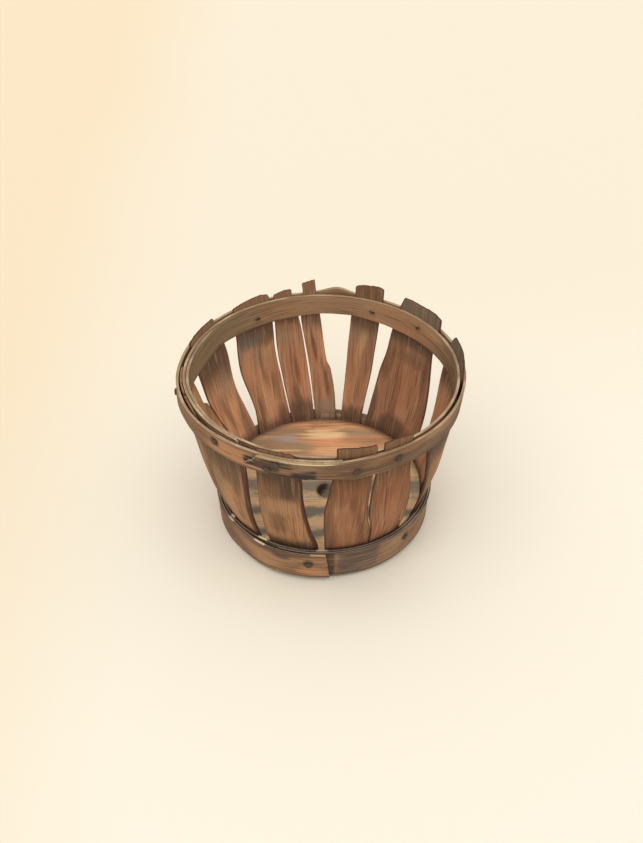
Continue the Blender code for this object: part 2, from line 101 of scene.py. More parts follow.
# The wall that every piece is bent round
def wallRadius(bearing, height):
    shoulder = wall["height"] - wall["rimDepth"]
    waist = wall["waistRadius"] - wall["waistPinch"] * math.sin(math.radians(bearing)) ** 4
    if height <= wall["footDepth"]:
        return blend(wall["footRadius"], waist, height / wall["footDepth"])
    near = math.exp(-(((height - wall["bulgeHeight"]) / wall["bulgeReach"]) ** 2))
    bulge = wall["bulge"] * near * bow(bearing, wall["bulgeBearing"], wall["bulgeWidth"])
    if height >= shoulder:
        rise = (height - shoulder) / wall["rimDepth"]
        return blend(wall["shoulderRadius"], wall["rimRadius"], rise) + bulge
    share = (height - wall["footDepth"]) / (shoulder - wall["footDepth"])
    swell = wall["swell"] - wall["swellLean"] * math.sin(math.radians(bearing))
    turn = math.pi * share
    hump = math.sin(turn) * (1.0 + wall["swellLow"] * math.cos(turn))
    return blend(waist, wall["shoulderRadius"], share) + swell * hump + bulge


def wallPoint(bearing, height, offset=0.0):
    # A point at an offset outside the staves' outer faces, measured square to the wall
    angle = math.radians(bearing)
    step = 0.5 * stock["stave"]
    spread = wallRadius(bearing, height + step) - wallRadius(bearing, height - step)
    radius = wallRadius(bearing, height) + offset * math.hypot(1.0, 0.5 * spread / step)
    astray = 1.0 - height / wall["height"]
    x = wall["axisX"] + wall["footRight"] * astray + radius * math.sin(angle)
    y = wall["axisY"] + wall["footBack"] * astray - radius * math.cos(angle)
    return Vector((x, y, height))


def wallNormal(bearing, height):
    step = 0.5 * stock["stave"]
    up = wallPoint(bearing, height + step) - wallPoint(bearing, height - step)
    angle = math.radians(bearing)
    return Vector((math.cos(angle), math.sin(angle), 0.0)).cross(up).normalized()


# Shader nodes
# How a soft patch ends: how uneven its outline is, and where it starts and is full
patchEdge = {"uneven": 4.5, "start": 1.5, "full": -0.1}


class Wire:
    # A number on a node's socket, for plain arithmetic
    def __init__(self, finish, socket):
        self.finish = finish
        self.socket = socket

    def maths(self, operation, first, second=0.0):
        return self.finish.add("ShaderNodeMath", {"operation": operation}, {0: first, 1: second})

    def __add__(self, other):
        return self.maths("ADD", self, other)

    def __radd__(self, other):
        return self.maths("ADD", other, self)

    def __sub__(self, other):
        return self.maths("SUBTRACT", self, other)

    def __mul__(self, other):
        return self.maths("MULTIPLY", self, other)

    def __truediv__(self, other):
        return self.maths("DIVIDE", self, other)

    def __abs__(self):
        return self.maths("ABSOLUTE", self)


class Finish:
    # A material whose nodes are added one at a time
    def __init__(self, name):
        self.material = bpy.data.materials.new(name)
        self.material.use_nodes = True
        self.tree = self.material.node_tree
        self.shader = self.tree.nodes["Principled BSDF"]

    def feed(self, socket, value):
        if isinstance(value, Wire):
            self.tree.links.new(value.socket, socket)
        else:
            socket.default_value = value

    def add(self, kind, settings, inputs, output=0):
        node = self.tree.nodes.new(kind)
        for key, value in settings.items():
            setattr(node, key, value)
        for key, value in inputs.items():
            self.feed(node.inputs[key], value)
        return Wire(self, node.outputs[output])

    def uvPair(self, name):
        # The two numbers of one of the piece's own UV maps
        uv = self.add("ShaderNodeUVMap", {"uv_map": name}, {})
        return [self.add("ShaderNodeSeparateXYZ", {}, {0: uv}, k) for k in (0, 1)]

    def place(self):
        # Object coordinates as three numbers
        here = self.add("ShaderNodeTexCoord", {}, {}, "Object")
        return [self.add("ShaderNodeSeparateXYZ", {}, {0: here}, k) for k in (0, 1, 2)]

    def cloud(self, x, y, z, detail=3.0, rough=0.55):
        # Noise from 0 to 1 at a point given by three numbers
        point = self.add("ShaderNodeCombineXYZ", {}, {0: x, 1: y, 2: z})
        return self.add(
            "ShaderNodeTexNoise", {},
            {"Vector": point, "Scale": 1.0, "Detail": detail, "Roughness": rough}
        )

    def step(self, value, start, stop, top=1.0):
        # Eases from 0 at start to top at stop
        return self.add(
            "ShaderNodeMapRange", {"interpolation_type": "SMOOTHSTEP"},
            {"Value": value, "From Min": start, "From Max": stop, "To Min": 0.0, "To Max": top}
        )

    def mix(self, a, b, factor):
        return self.add("ShaderNodeMix", {"data_type": "RGBA"}, {0: factor, 6: a, 7: b}, 2)

    def spot(self, x, y, spec, ripple):
        # A soft patch: 1 at its middle and 0 past its half sizes, with an uneven outline
        midX, midY, halfX, halfY, strength = spec
        awayX = (x - midX) / halfX
        awayY = (y - midY) / halfY
        away = awayX * awayX + awayY * awayY + (ripple - 0.5) * patchEdge["uneven"]
        return self.step(away, patchEdge["start"], patchEdge["full"], strength)

    def distance(self, x, y):
        # How far two numbers lie from 0, 0
        point = self.add("ShaderNodeCombineXYZ", {}, {0: x, 1: y})
        return self.add("ShaderNodeVectorMath", {"operation": "LENGTH"}, {0: point}, 1)

    def finishBy(self, color, roughness, height, reach, strength, shine):
        self.shader.inputs["Specular IOR Level"].default_value = shine
        self.feed(self.shader.inputs["Base Color"], color)
        self.feed(self.shader.inputs["Roughness"], roughness)
        bump = self.add(
            "ShaderNodeBump", {}, {"Height": height, "Distance": reach, "Strength": strength}
        )
        self.feed(self.shader.inputs["Normal"], bump)
        return self.material


def paint(red, green, blue, gain=1.0):
    # A colour as it is seen on a screen, made linear
    channels = []
    for value in (red, green, blue):
        value /= 255.0
        value = value / 12.92 if value <= 0.04045 else ((value + 0.055) / 1.055) ** 2.4
        channels.append(min(1.0, value * gain))
    return (*channels, 1.0)


# Bent sheets
sheet = {"edgeShift": 0.0004, "bevelSteps": 2, "bevelDegrees": 50.0, "sharpDegrees": 42.0}


def bentSheet(name, columns, rows, place, tell, missing, looks, bevel):
    # A grid laid on place(across, up, side), side 0 being the outer face and 1 the inner one.
    # tell(across, up) gives the two UV pairs, and missing(across, up) is true where it is broken.
    bm = bmesh.new()
    bmesh.ops.create_grid(bm, x_segments=columns, y_segments=rows, size=0.5)
    side = bm.verts.layers.float.new("side")
    if missing:
        lost = [f for f in bm.faces if missing(*(v + 0.5 for v in f.calc_center_median()[:2]))]
        bmesh.ops.delete(bm, geom=lost, context="FACES")
    spots = {(v.co.x, v.co.y): tell(v.co.x + 0.5, v.co.y + 0.5) for v in bm.verts}
    made = bmesh.ops.extrude_face_region(bm, geom=list(bm.faces))
    for item in made["geom"]:
        if isinstance(item, bmesh.types.BMVert):
            item[side] = 1.0
    grain = bm.loops.layers.uv.new("grain")
    lay = bm.loops.layers.uv.new("place")
    for face in bm.faces:
        sides = [loop.vert[side] for loop in face.loops]
        face.material_index = 1 if min(sides) < max(sides) else 2 * round(sides[0])
        for loop in face.loops:
            told = spots[(loop.vert.co.x, loop.vert.co.y)]
            shift = sheet["edgeShift"] * loop.vert[side] if face.material_index else 0.0
            loop[grain].uv = (told[0] + shift, told[1])
            loop[lay].uv = told[2:]
    for vert in bm.verts:
        vert.co = place(vert.co.x + 0.5, vert.co.y + 0.5, 1 if vert[side] > 0.5 else 0)
    bmesh.ops.recalc_face_normals(bm, faces=bm.faces)
    piece = pieceFrom(name, bm, looks)
    soften = piece.modifiers.new("worn edges", "BEVEL")
    soften.width = bevel
    soften.segments = sheet["bevelSteps"]
    soften.limit_method = "ANGLE"
    soften.angle_limit = math.radians(sheet["bevelDegrees"])
    return piece


def pieceFrom(name, bm, looks, sharpDegrees=sheet["sharpDegrees"]):
    mesh = bpy.data.meshes.new(name)
    bm.to_mesh(mesh)
    bm.free()
    for look in looks:
        mesh.materials.append(look)
    mesh.shade_smooth()
    mesh.set_sharp_from_angle(angle=math.radians(sharpDegrees))
    piece = bpy.data.objects.new(name, mesh)
    bpy.context.scene.collection.objects.link(piece)
    return piece


def standFor(piece, node, slot):
    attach(piece, "root")
    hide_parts(node)


# Wood
woodTones = {
    "red": (147, 97, 67), "russet": (150, 108, 80), "brown": (144, 107, 77), "tan": (170, 128, 92),
    "orange": (184, 130, 90), "pink": (164, 113, 81), "warmDark": (110, 78, 55),
    "greyTan": (132, 106, 82), "grey": (112, 98, 82), "greenGrey": (126, 113, 86),
    "dark": (96, 72, 54), "umber": (78, 59, 47), "redDark": (88, 52, 38), "brick": (106, 73, 51),
    "redBrown": (136, 88, 60), "nearBlack": (50, 41, 35), "slate": (92, 84, 77),
    "cream": (222, 198, 160), "paleTan": (200, 164, 122), "yellowTan": (174, 136, 96),
    "paleGrey": (172, 152, 128), "blueGrey": (142, 130, 120), "silver": (170, 162, 150),
    "edgeTan": (166, 138, 106), "edgePale": (200, 174, 138), "stone": (112, 107, 92),
    "stoneDark": (104, 96, 86), "greenPale": (168, 158, 128),
    "tabGrey": (119, 103, 85), "tabGreen": (103, 94, 75), "tabBrown": (124, 92, 66),
}
wood = {
    "lift": 1.07, "seedStep": 7.31, "tabFrom": 0.0965, "tabTo": 0.0985,
    # where a layer of noise starts to show, and where it shows in full
    "lightBroad": (0.47, 0.66), "darkBroad": (0.46, 0.30), "darkStreak": (0.51, 0.66),
    "lightStreak": (0.46, 0.32), "stain": (0.50, 0.68), "thread": (0.55, 0.68),
    "hair": (0.53, 0.68), "tooth": (0.50, 0.75),
    # the light streaks' share of the dark ones' strength, and the shares of patch and streak in ripple
    "lightStreaks": 0.7, "ripple": (0.35, 0.65),
    # how much a patch, a zone or the tab shows at the least, and what ripple adds to the last two
    "patchLeast": 0.5, "zone": (0.4, 1.1), "tab": (0.65, 0.6),
    # how far noise moves the ends of stretches and the sides of lines and rims, as shares of their size,
    # how much of a line's length its ends take, and how much of a rim's width is full
    "stretchWander": 1.5, "lineBend": 4.0, "lineWander": 1.5, "rimWander": 0.6, "lineEnds": 0.2,
    "rimCore": 0.65,
    # roughness and what streak and patch add, the shares of streak, hair and broad in the relief
    "rough": (0.62, 0.24, 0.08), "heights": (0.5, 0.5, 0.3), "bump": 0.55,
    # the bend of the grain: how fine across it and along it, shift and detail
    "bend": (60.0, 18.0, 3.0, 2.0),
    # the layers of the grain: how fine across it and along it, shift, detail, roughness
    "layers": (
        (170.0, 17.0, 0.0, 3.0, 0.55), (520.0, 19.0, 11.0, 4.0, 0.62), (1450.0, 34.0, 23.0, 2.0, 0.5),
        (1250.0, 40.0, 61.0, 2.0, 0.5), (150.0, 48.0, 37.0, 4.0, 0.6), (2100.0, 1500.0, 71.0, 2.0, 0.55),
    ),
}
# The cut edges: how fine their plies, wear and nicks are, and where each shows
cutEdge = {
    "seedStep": 3.7, "plyAcross": 4200.0, "plyAlong": 45.0, "wearFine": 90.0, "nickFine": 620.0,
    "worn": (0.42, 0.62), "ply": (0.52, 0.66, 0.5), "nick": (0.60, 0.72, 0.55),
    "lineWander": 0.5, "lineCore": 0.4, "spotWander": 0.012, "spotCore": 0.8,
    "rough": (0.7, 0.2), "heights": (0.6, 0.4), "bump": 0.6,
}
# What a look has where it says nothing else
lookCommon = {
    "bend": 0.004, "lightness": 0.8, "darkness": 0.6, "streaks": 0.5, "stained": 0.6, "threads": 0.2,
    "hairs": 0.5, "tooth": 0.22, "relief": 0.00022, "shine": 0.2, "lineCore": 0.25, "paintedLightGains": (1.0, 1.0),
    "spots": (), "zones": (), "stretches": (), "lines": (), "rims": (),
    "edgeWear": 0.7, "litEdgePatches": (), "edgeRelief": 0.00018,
}


def tone(name, gain=1.0):
    return paint(*woodTones[name], gain * wood["lift"])


def woodFinish(name, look, gain):
    # Split wood: broad tones, soft streaks and thin lines along the grain, then soft patches.
    # The UV map "grain" holds metres across and along the grain.
    finish = Finish(name)
    across, run = finish.uvPair("grain")
    share, level = finish.uvPair("place")
    seed = look["seed"] * wood["seedStep"]
    bendAcross, bendAlong, shift, detail = wood["bend"]
    bend = finish.cloud(across * bendAcross, run * bendAlong, seed + shift, detail)
    across = across + (bend - 0.5) * look["bend"]
    x, y, _ = finish.place()
    # in a seamless look the grain goes round with x and y, so both layers of a lap match
    onward, aside = (x, y) if "seamless" in look else (run, 0.0)

    def grain(acrossRate, runRate, shift, detail, rough):
        return finish.cloud(
            across * acrossRate, onward * runRate, aside * runRate + (seed + shift), detail, rough
        )

    broad, streak, hair, thread, patch, tooth = (grain(*layer) for layer in wood["layers"])
    ofPatch, ofStreak = wood["ripple"]
    ripple = patch * ofPatch + streak * ofStreak
    main, light, dark, stain = (tone(look[key], gain) for key in ("main", "light", "dark", "stain"))
    streaks = look["streaks"]
    color = finish.mix(main, light, finish.step(broad, *wood["lightBroad"], look["lightness"]))
    color = finish.mix(color, dark, finish.step(broad, *wood["darkBroad"], look["darkness"]))
    color = finish.mix(color, dark, finish.step(streak, *wood["darkStreak"], streaks))
    lightMask = finish.step(streak, *wood["lightStreak"], wood["lightStreaks"] * streaks)
    color = finish.mix(color, light, lightMask)
    color = finish.mix(color, stain, finish.step(patch, *wood["stain"], look["stained"]))
    for toneName, spec in look["spots"]:
        mask = finish.spot(share, level, spec, ripple)
        color = finish.mix(color, tone(toneName, gain), mask * (wood["patchLeast"] + streak))
    zoneLeast, zoneSwing = wood["zone"]
    for toneName, low, high, start, stop, strength in look["zones"]:
        # a stretch of level between low and high that eases in from start and stop
        mask = finish.step(level, start, low) * finish.step(level, stop, high, strength)
        color = finish.mix(color, tone(toneName, gain), mask * (zoneLeast + ripple * zoneSwing))
    for toneName, first, last, ease, strength in look["stretches"]:
        # a stretch of a strip between two bearings
        bearing = share * 360.0 + (ripple - 0.5) * ease * wood["stretchWander"]
        mask = finish.step(bearing, first - ease, first + ease)
        mask = mask * finish.step(bearing, last + ease, last - ease, strength)
        color = finish.mix(color, tone(toneName, gain), mask * (wood["patchLeast"] + streak))
    if "tab" in look:
        # the top that stands above the hoops, in full light on both faces
        mask = finish.step(level, wood["tabFrom"], wood["tabTo"])
        tabLeast, tabSwing = wood["tab"]
        color = finish.mix(color, tone(look["tab"]), mask * (tabLeast + ripple * tabSwing))
    sideways, onwards = (level, share) if "strip" in look else (share, level)
    for toneName, spec in look["lines"]:
        # a thin line along the grain: middle, lean, half width, where it starts and ends, strength
        middle, lean, half, first, last, strength = spec
        reach = (last - first) * wood["lineEnds"]
        lean = (onwards - 0.5 * (first + last)) * lean
        offLine = abs(sideways - middle - lean + (bend - 0.5) * half * wood["lineBend"])
        offLine = offLine + (streak - 0.5) * half * wood["lineWander"]
        mask = finish.step(offLine, half, look["lineCore"] * half, strength)
        mask = mask * finish.step(onwards, first, first + reach)
        mask = mask * finish.step(onwards, last, last - reach)
        color = finish.mix(color, tone(toneName, gain), mask)
    for toneName, edge, width, strength in look["rims"]:
        # a long edge, 0 or 1, darkens over a width given as a share of the piece's own, as painted shade
        # between staves
        offEdge = abs(share - edge) + (streak - 0.5) * width * wood["rimWander"]
        mask = finish.step(offEdge, width, wood["rimCore"] * width, strength)
        color = finish.mix(color, tone(toneName, gain), mask)
    fine = (
        ("paleTan", thread, "thread", look["threads"]), ("umber", hair, "hair", look["hairs"]),
        ("umber", tooth, "tooth", look["tooth"]),
    )
    for toneName, layer, key, strength in fine:
        color = finish.mix(color, tone(toneName, gain), finish.step(layer, *wood[key], strength))
    plain, onStreak, onPatch = wood["rough"]
    rough = plain + streak * onStreak + patch * onPatch
    ofStreak, ofHair, ofBroad = wood["heights"]
    height = streak * ofStreak + hair * ofHair + broad * ofBroad
    return finish.finishBy(color, rough, height, look["relief"], wood["bump"], look["shine"])


def edgeFinish(name, look):
    # The cut edge of a sheet, with its plies showing as fine lines
    finish = Finish(name)
    across, run = finish.uvPair("grain")
    share, _ = finish.uvPair("place")
    x, y, z = finish.place()
    side = finish.add("ShaderNodeAttribute", {"attribute_name": "side"}, {}, "Fac")
    seed = look["seed"] * cutEdge["seedStep"]
    ply = finish.cloud(across * cutEdge["plyAcross"], run * cutEdge["plyAlong"], seed, 2.0)
    rate = cutEdge["wearFine"]
    wear = finish.cloud(x * rate, y * rate, z * rate + seed, 3.0)
    rate = cutEdge["nickFine"]
    nick = finish.cloud(x * rate, y * rate, z * rate + seed, 2.0)
    light, dark = tone(look["edgeLight"]), tone(look["edgeDark"])
    worn = finish.step(wear, *cutEdge["worn"], look["edgeWear"])
    color = finish.mix(tone(look["edge"]), light, worn)
    color = finish.mix(color, dark, finish.step(ply, *cutEdge["ply"]))
    if "edgeLine" in look:
        # a pale line along the middle of the edge, between its dark sides
        toneName, middle, half, strength = look["edgeLine"]
        offLine = abs(side + (wear - 0.5) * cutEdge["lineWander"] - middle)
        mask = finish.step(offLine, half, cutEdge["lineCore"] * half, strength)
        color = finish.mix(color, tone(toneName), mask)
    color = finish.mix(color, dark, finish.step(nick, *cutEdge["nick"]))
    # pale patches on a band's top edge are painted light, falling through the gaps between the staves
    for toneName, bearing, half, strength in look["litEdgePatches"]:
        away = abs(share - bearing / 360.0) + (nick - 0.5) * cutEdge["spotWander"]
        mask = finish.step(away, half / 360.0, cutEdge["spotCore"] * half / 360.0, strength)
        color = finish.mix(color, tone(toneName), mask)
    ofPly, ofNick = cutEdge["heights"]
    height = ply * ofPly + nick * ofNick
    plain, onWear = cutEdge["rough"]
    rough = plain + wear * onWear
    return finish.finishBy(
        color, rough, height, look["edgeRelief"], cutEdge["bump"], lookCommon["shine"]
    )


def sheetLooks(name, look):
    # The finishes of a sheet's outer face, cut edge and inner face, in the order of its slots
    # each face is lightened by its own painted light gain, to make up for the shade it gets
    outLightGain, inLightGain = look["paintedLightGains"]
    return [
        woodFinish(name, look, outLightGain), edgeFinish(name + "Edge", look),
        woodFinish(name + "Inside", look, inLightGain),
    ]


# Hoops and bands
strips = {
    "lapMargin": 2.0, "lapRamp": 24.0, "raggedEnd": 10.0, "feather": 0.00015, "scarfed": 0.85,
    "hollow": 0.00006, "hollowDegrees": 3.0, "thinnest": 0.0002,
    # how many degrees the slow and the quick drift of the lower and the upper edge take
    "lowDrift": (7.0, 1.3), "highDrift": (6.0, 1.1), "splitWander": 0.03, "splitDegrees": 4.0,
}
# Each strip: where it starts, which way it turns, its lap in degrees, the step of its top layer, its
# offset from the staves' outer faces, its edges and its mesh. Its end and tail are ragged by
# (share up the strip, degrees), and a split is (first bearing, last, share up, half width, depth).
outerHoop = {
    "start": 332.6, "turn": 1, "lap": 24.0, "layer": 0.00176, "offset": 0.0018,
    "thickness": stock["hoop"], "depth": 0.0136, "lapLift": 0.0022, "bow": 0.0034, "bowWidth": 7.0,
    "bowBearing": 173.0, "stand": 0.0012, "standBearing": 298.0, "standWidth": 20.0,
    "columns": 620, "rows": 34, "crowd": 0.6, "drift": 0.00016, "seed": 2.0, "bevel": 0.0003,
    "end": (
        (0.0, 0.6), (0.05, -0.6), (0.1, 0.0), (0.16, -2.4), (0.2, -1.2), (0.26, -3.6), (0.3, -1.0),
        (0.36, -1.8), (0.42, 0.2), (0.47, -1.0), (0.52, 0.4), (0.6, 1.6), (0.68, 1.2), (0.76, 2.4),
        (0.84, 2.3), (0.92, 2.7), (0.97, 3.4), (1.0, 4.6),
    ),
    "tail": (
        (0.0, -2.6), (0.04, -1.0), (0.09, -0.1), (0.16, 0.0), (0.24, -0.8), (0.4, 1.0), (0.6, 4.0),
        (0.8, 8.0), (1.0, 11.0),
    ),
    "splits": (
        (334.0, 349.0, 0.66, 0.035, 0.0005), (336.0, 353.0, 0.36, 0.03, 0.0005),
        (338.0, 346.0, 0.50, 0.025, 0.0003), (700.0, 716.0, 0.10, 0.03, 0.0004),
        (372.0, 381.0, 0.40, 0.025, 0.0003), (388.0, 394.0, 0.52, 0.02, 0.0002),
    ),
}
innerHoop = {
    "start": 233.0, "turn": 1, "lap": 92.0, "layer": -0.0018, "offset": -0.0014,
    "thickness": stock["hoop"], "depth": 0.0138, "lapDrop": 0.0004, "bow": 0.0024, "bowWidth": 22.0,
    "bowBearing": 173.0, "columns": 640, "rows": 26, "crowd": 0.5, "drift": 0.00014, "seed": 5.0,
    "bevel": 0.0003, "scarf": 16.0,
    "end": (
        (0.0, 3.2), (0.06, 2.2), (0.1, 2.6), (0.16, 0.9), (0.24, 0.5), (0.3, -0.2), (0.6, 0.1),
        (0.8, -0.1), (0.96, 0.2), (1.0, 0.7),
    ),
    "tail": ((0.0, -0.8), (0.1, 0.0), (0.9, 0.0), (1.0, -0.8)),
    "splits": ((150.0, 159.0, 0.42, 0.03, 0.0), ),
}
innerBand = {
    "start": 165.0, "turn": 1, "lap": -0.8, "layer": 0.0, "offset": 0.0019,
    "thickness": stock["band"], "low": 0.0, "high": 0.0226, "slant": 0.0008, "slantBearing": 75.0,
    "columns": 440, "rows": 30, "crowd": 0.0, "drift": 0.0001, "seed": 8.0, "bevel": 0.0003,
    "end": ((0.0, 0.1), (0.5, 0.0), (1.0, 0.1)), "tail": ((0.0, -0.1), (0.5, 0.0), (1.0, -0.1)),
    "splits": (),
}
outerBand = {
    "start": 361.9, "turn": -1, "lap": 25.0, "layer": 0.0019, "offset": 0.0038,
    "thickness": stock["band"], "low": 0.003, "high": 0.0228, "slant": 0.0008, "slantBearing": 75.0,
    "columns": 520, "rows": 40, "crowd": 0.5, "drift": 0.00014, "seed": 13.0, "bevel": 0.0003,
    "end": ((0.0, 1.1), (0.3, 0.7), (0.5, 0.1), (0.53, 0.4), (0.8, -0.5), (1.0, -0.8)),
    "tail": ((0.0, -0.2), (0.5, 0.0), (1.0, -0.2)),
    "splits": ((353.2, 360.4, 0.545, 0.03, 0.0007), ),
}


def outerHoopEdges(bearing, raised):
    low = wall["height"] - outerHoop["depth"] + outerHoop["lapLift"] * max(0.0, 2.0 * raised - 1.0)
    hump = outerHoop["bow"] * bow(bearing, outerHoop["bowBearing"], outerHoop["bowWidth"])
    return low, wall["height"] + hump


def innerHoopEdges(bearing, raised):
    hump = innerHoop["bow"] * bow(bearing, innerHoop["bowBearing"], innerHoop["bowWidth"])
    return wall["height"] - innerHoop["depth"] + hump, wall["height"] - innerHoop["lapDrop"] * raised


def bandEdges(form):
    def edges(bearing, raised):
        slant = form["slant"] * math.cos(math.radians(bearing - form["slantBearing"]))
        low = form["low"] + slant if form["low"] else 0.0
        return low, form["high"] + slant
    return edges


def standOff(form, bearing):
    # The outer hoop stands off the staves on the left
    if "stand" not in form:
        return 0.0
    return form["stand"] * bow(bearing, form["standBearing"], form["standWidth"])


def raisedAt(form, turned):
    # How far a strip's top layer is raised: 1 over its lap, easing to 0 past it
    return 1.0 - easeStep((turned - form["lap"] - strips["lapMargin"]) / strips["lapRamp"])


def makeStrip(name, form, edges, looks):
    # A strip bent once round the basket, whose first end lies on top of the last one
    span = 360.0 + form["lap"]
    limit = strips["raggedEnd"]

    def turnedAt(across, up):
        share = across if form["turn"] > 0 else 1.0 - across
        turned = span * blend(share, easeStep(share), form["crowd"])
        ragged = along(form["end"], up) * max(0.0, 1.0 - turned / limit)
        if form["turn"] < 0:
            ragged = -ragged
        tail = along(form["tail"], up) * max(0.0, 1.0 - (span - turned) / limit)
        return turned + ragged + tail

    def driftAt(turned, rates, seed):
        slow, quick = (wobble(turned / rates[k], seed + 9.0 * k) for k in (0, 1))
        return form["drift"] * slow + 0.5 * form["drift"] * quick

    def place(across, up, side):
        turned = turnedAt(across, up)
        bearing = form["start"] + form["turn"] * turned
        raised = raisedAt(form, turned)
        low, high = edges(bearing, raised)
        seed = form["seed"]
        if low > 0.0:
            low += driftAt(turned, strips["lowDrift"], seed)
        high += driftAt(turned, strips["highDrift"], seed + 20.0)
        outer = form["offset"] + standOff(form, bearing) + form["layer"] * raised
        inner = outer - form["thickness"]
        if "scarf" in form:
            inner += strips["scarfed"] * form["thickness"] * (1.0 - easeStep(turned / form["scarf"]))
        ripple = wobble(turned / strips["hollowDegrees"], 6.0 * up, seed + 40.0)
        outer -= strips["hollow"] * (1.0 + ripple)
        under = turned - 360.0
        if form["layer"] > 0.0 and under > form["lap"]:
            # past its own lap, the last end thins out under the top layer
            raisedAbove = form["layer"] * raisedAt(form, under)
            room = form["offset"] + standOff(form, bearing) + raisedAbove - form["thickness"]
            outer = max(inner + strips["thinnest"], min(outer, room - strips["feather"]))
        for first, last, at, half, depth in form["splits"]:
            middle = at + strips["splitWander"] * wobble(bearing / strips["splitDegrees"], 50.0 + first)
            here = form["start"] + turned if form["turn"] > 0 else bearing
            if first < here < last and abs(up - middle) < half:
                fade = min(1.0, 4.0 * min(here - first, last - here) / (last - first))
                outer -= depth * fade * (1.0 - abs(up - middle) / half)
        return wallPoint(bearing, blend(low, high, up), inner if side else outer)

    def tell(across, up):
        turned = turnedAt(across, up)
        bearing = form["start"] + form["turn"] * turned
        depth = form.get("depth") or form["high"] - form["low"]
        return up * depth, math.radians(turned) * wall["grainRadius"], bearing / 360.0, up

    columns, rows = form["columns"], form["rows"]
    return bentSheet(name, columns, rows, place, tell, None, looks, form["bevel"])


def deg(bearing, up, halfDegrees, halfUp, strength):
    # A patch on a strip, its place given by a bearing
    return bearing / 360.0, up, halfDegrees / 360.0, halfUp, strength


def row(up, halfUp, first, last, strength):
    # A thin line along a strip between two bearings
    return up, 0.0, halfUp, first / 360.0, last / 360.0, strength


# Bearing and share up the outer hoop of the dark patch round each nail that shows
nailDarkPatches = [(636.0, 0.32), (675.3, 0.63), (339.6, 0.42), (343.0, 0.76), (373.0, 0.40), (390.1, 0.51)]
stripCommon = {"strip": True, "shine": 0.36, "bend": 0.002}
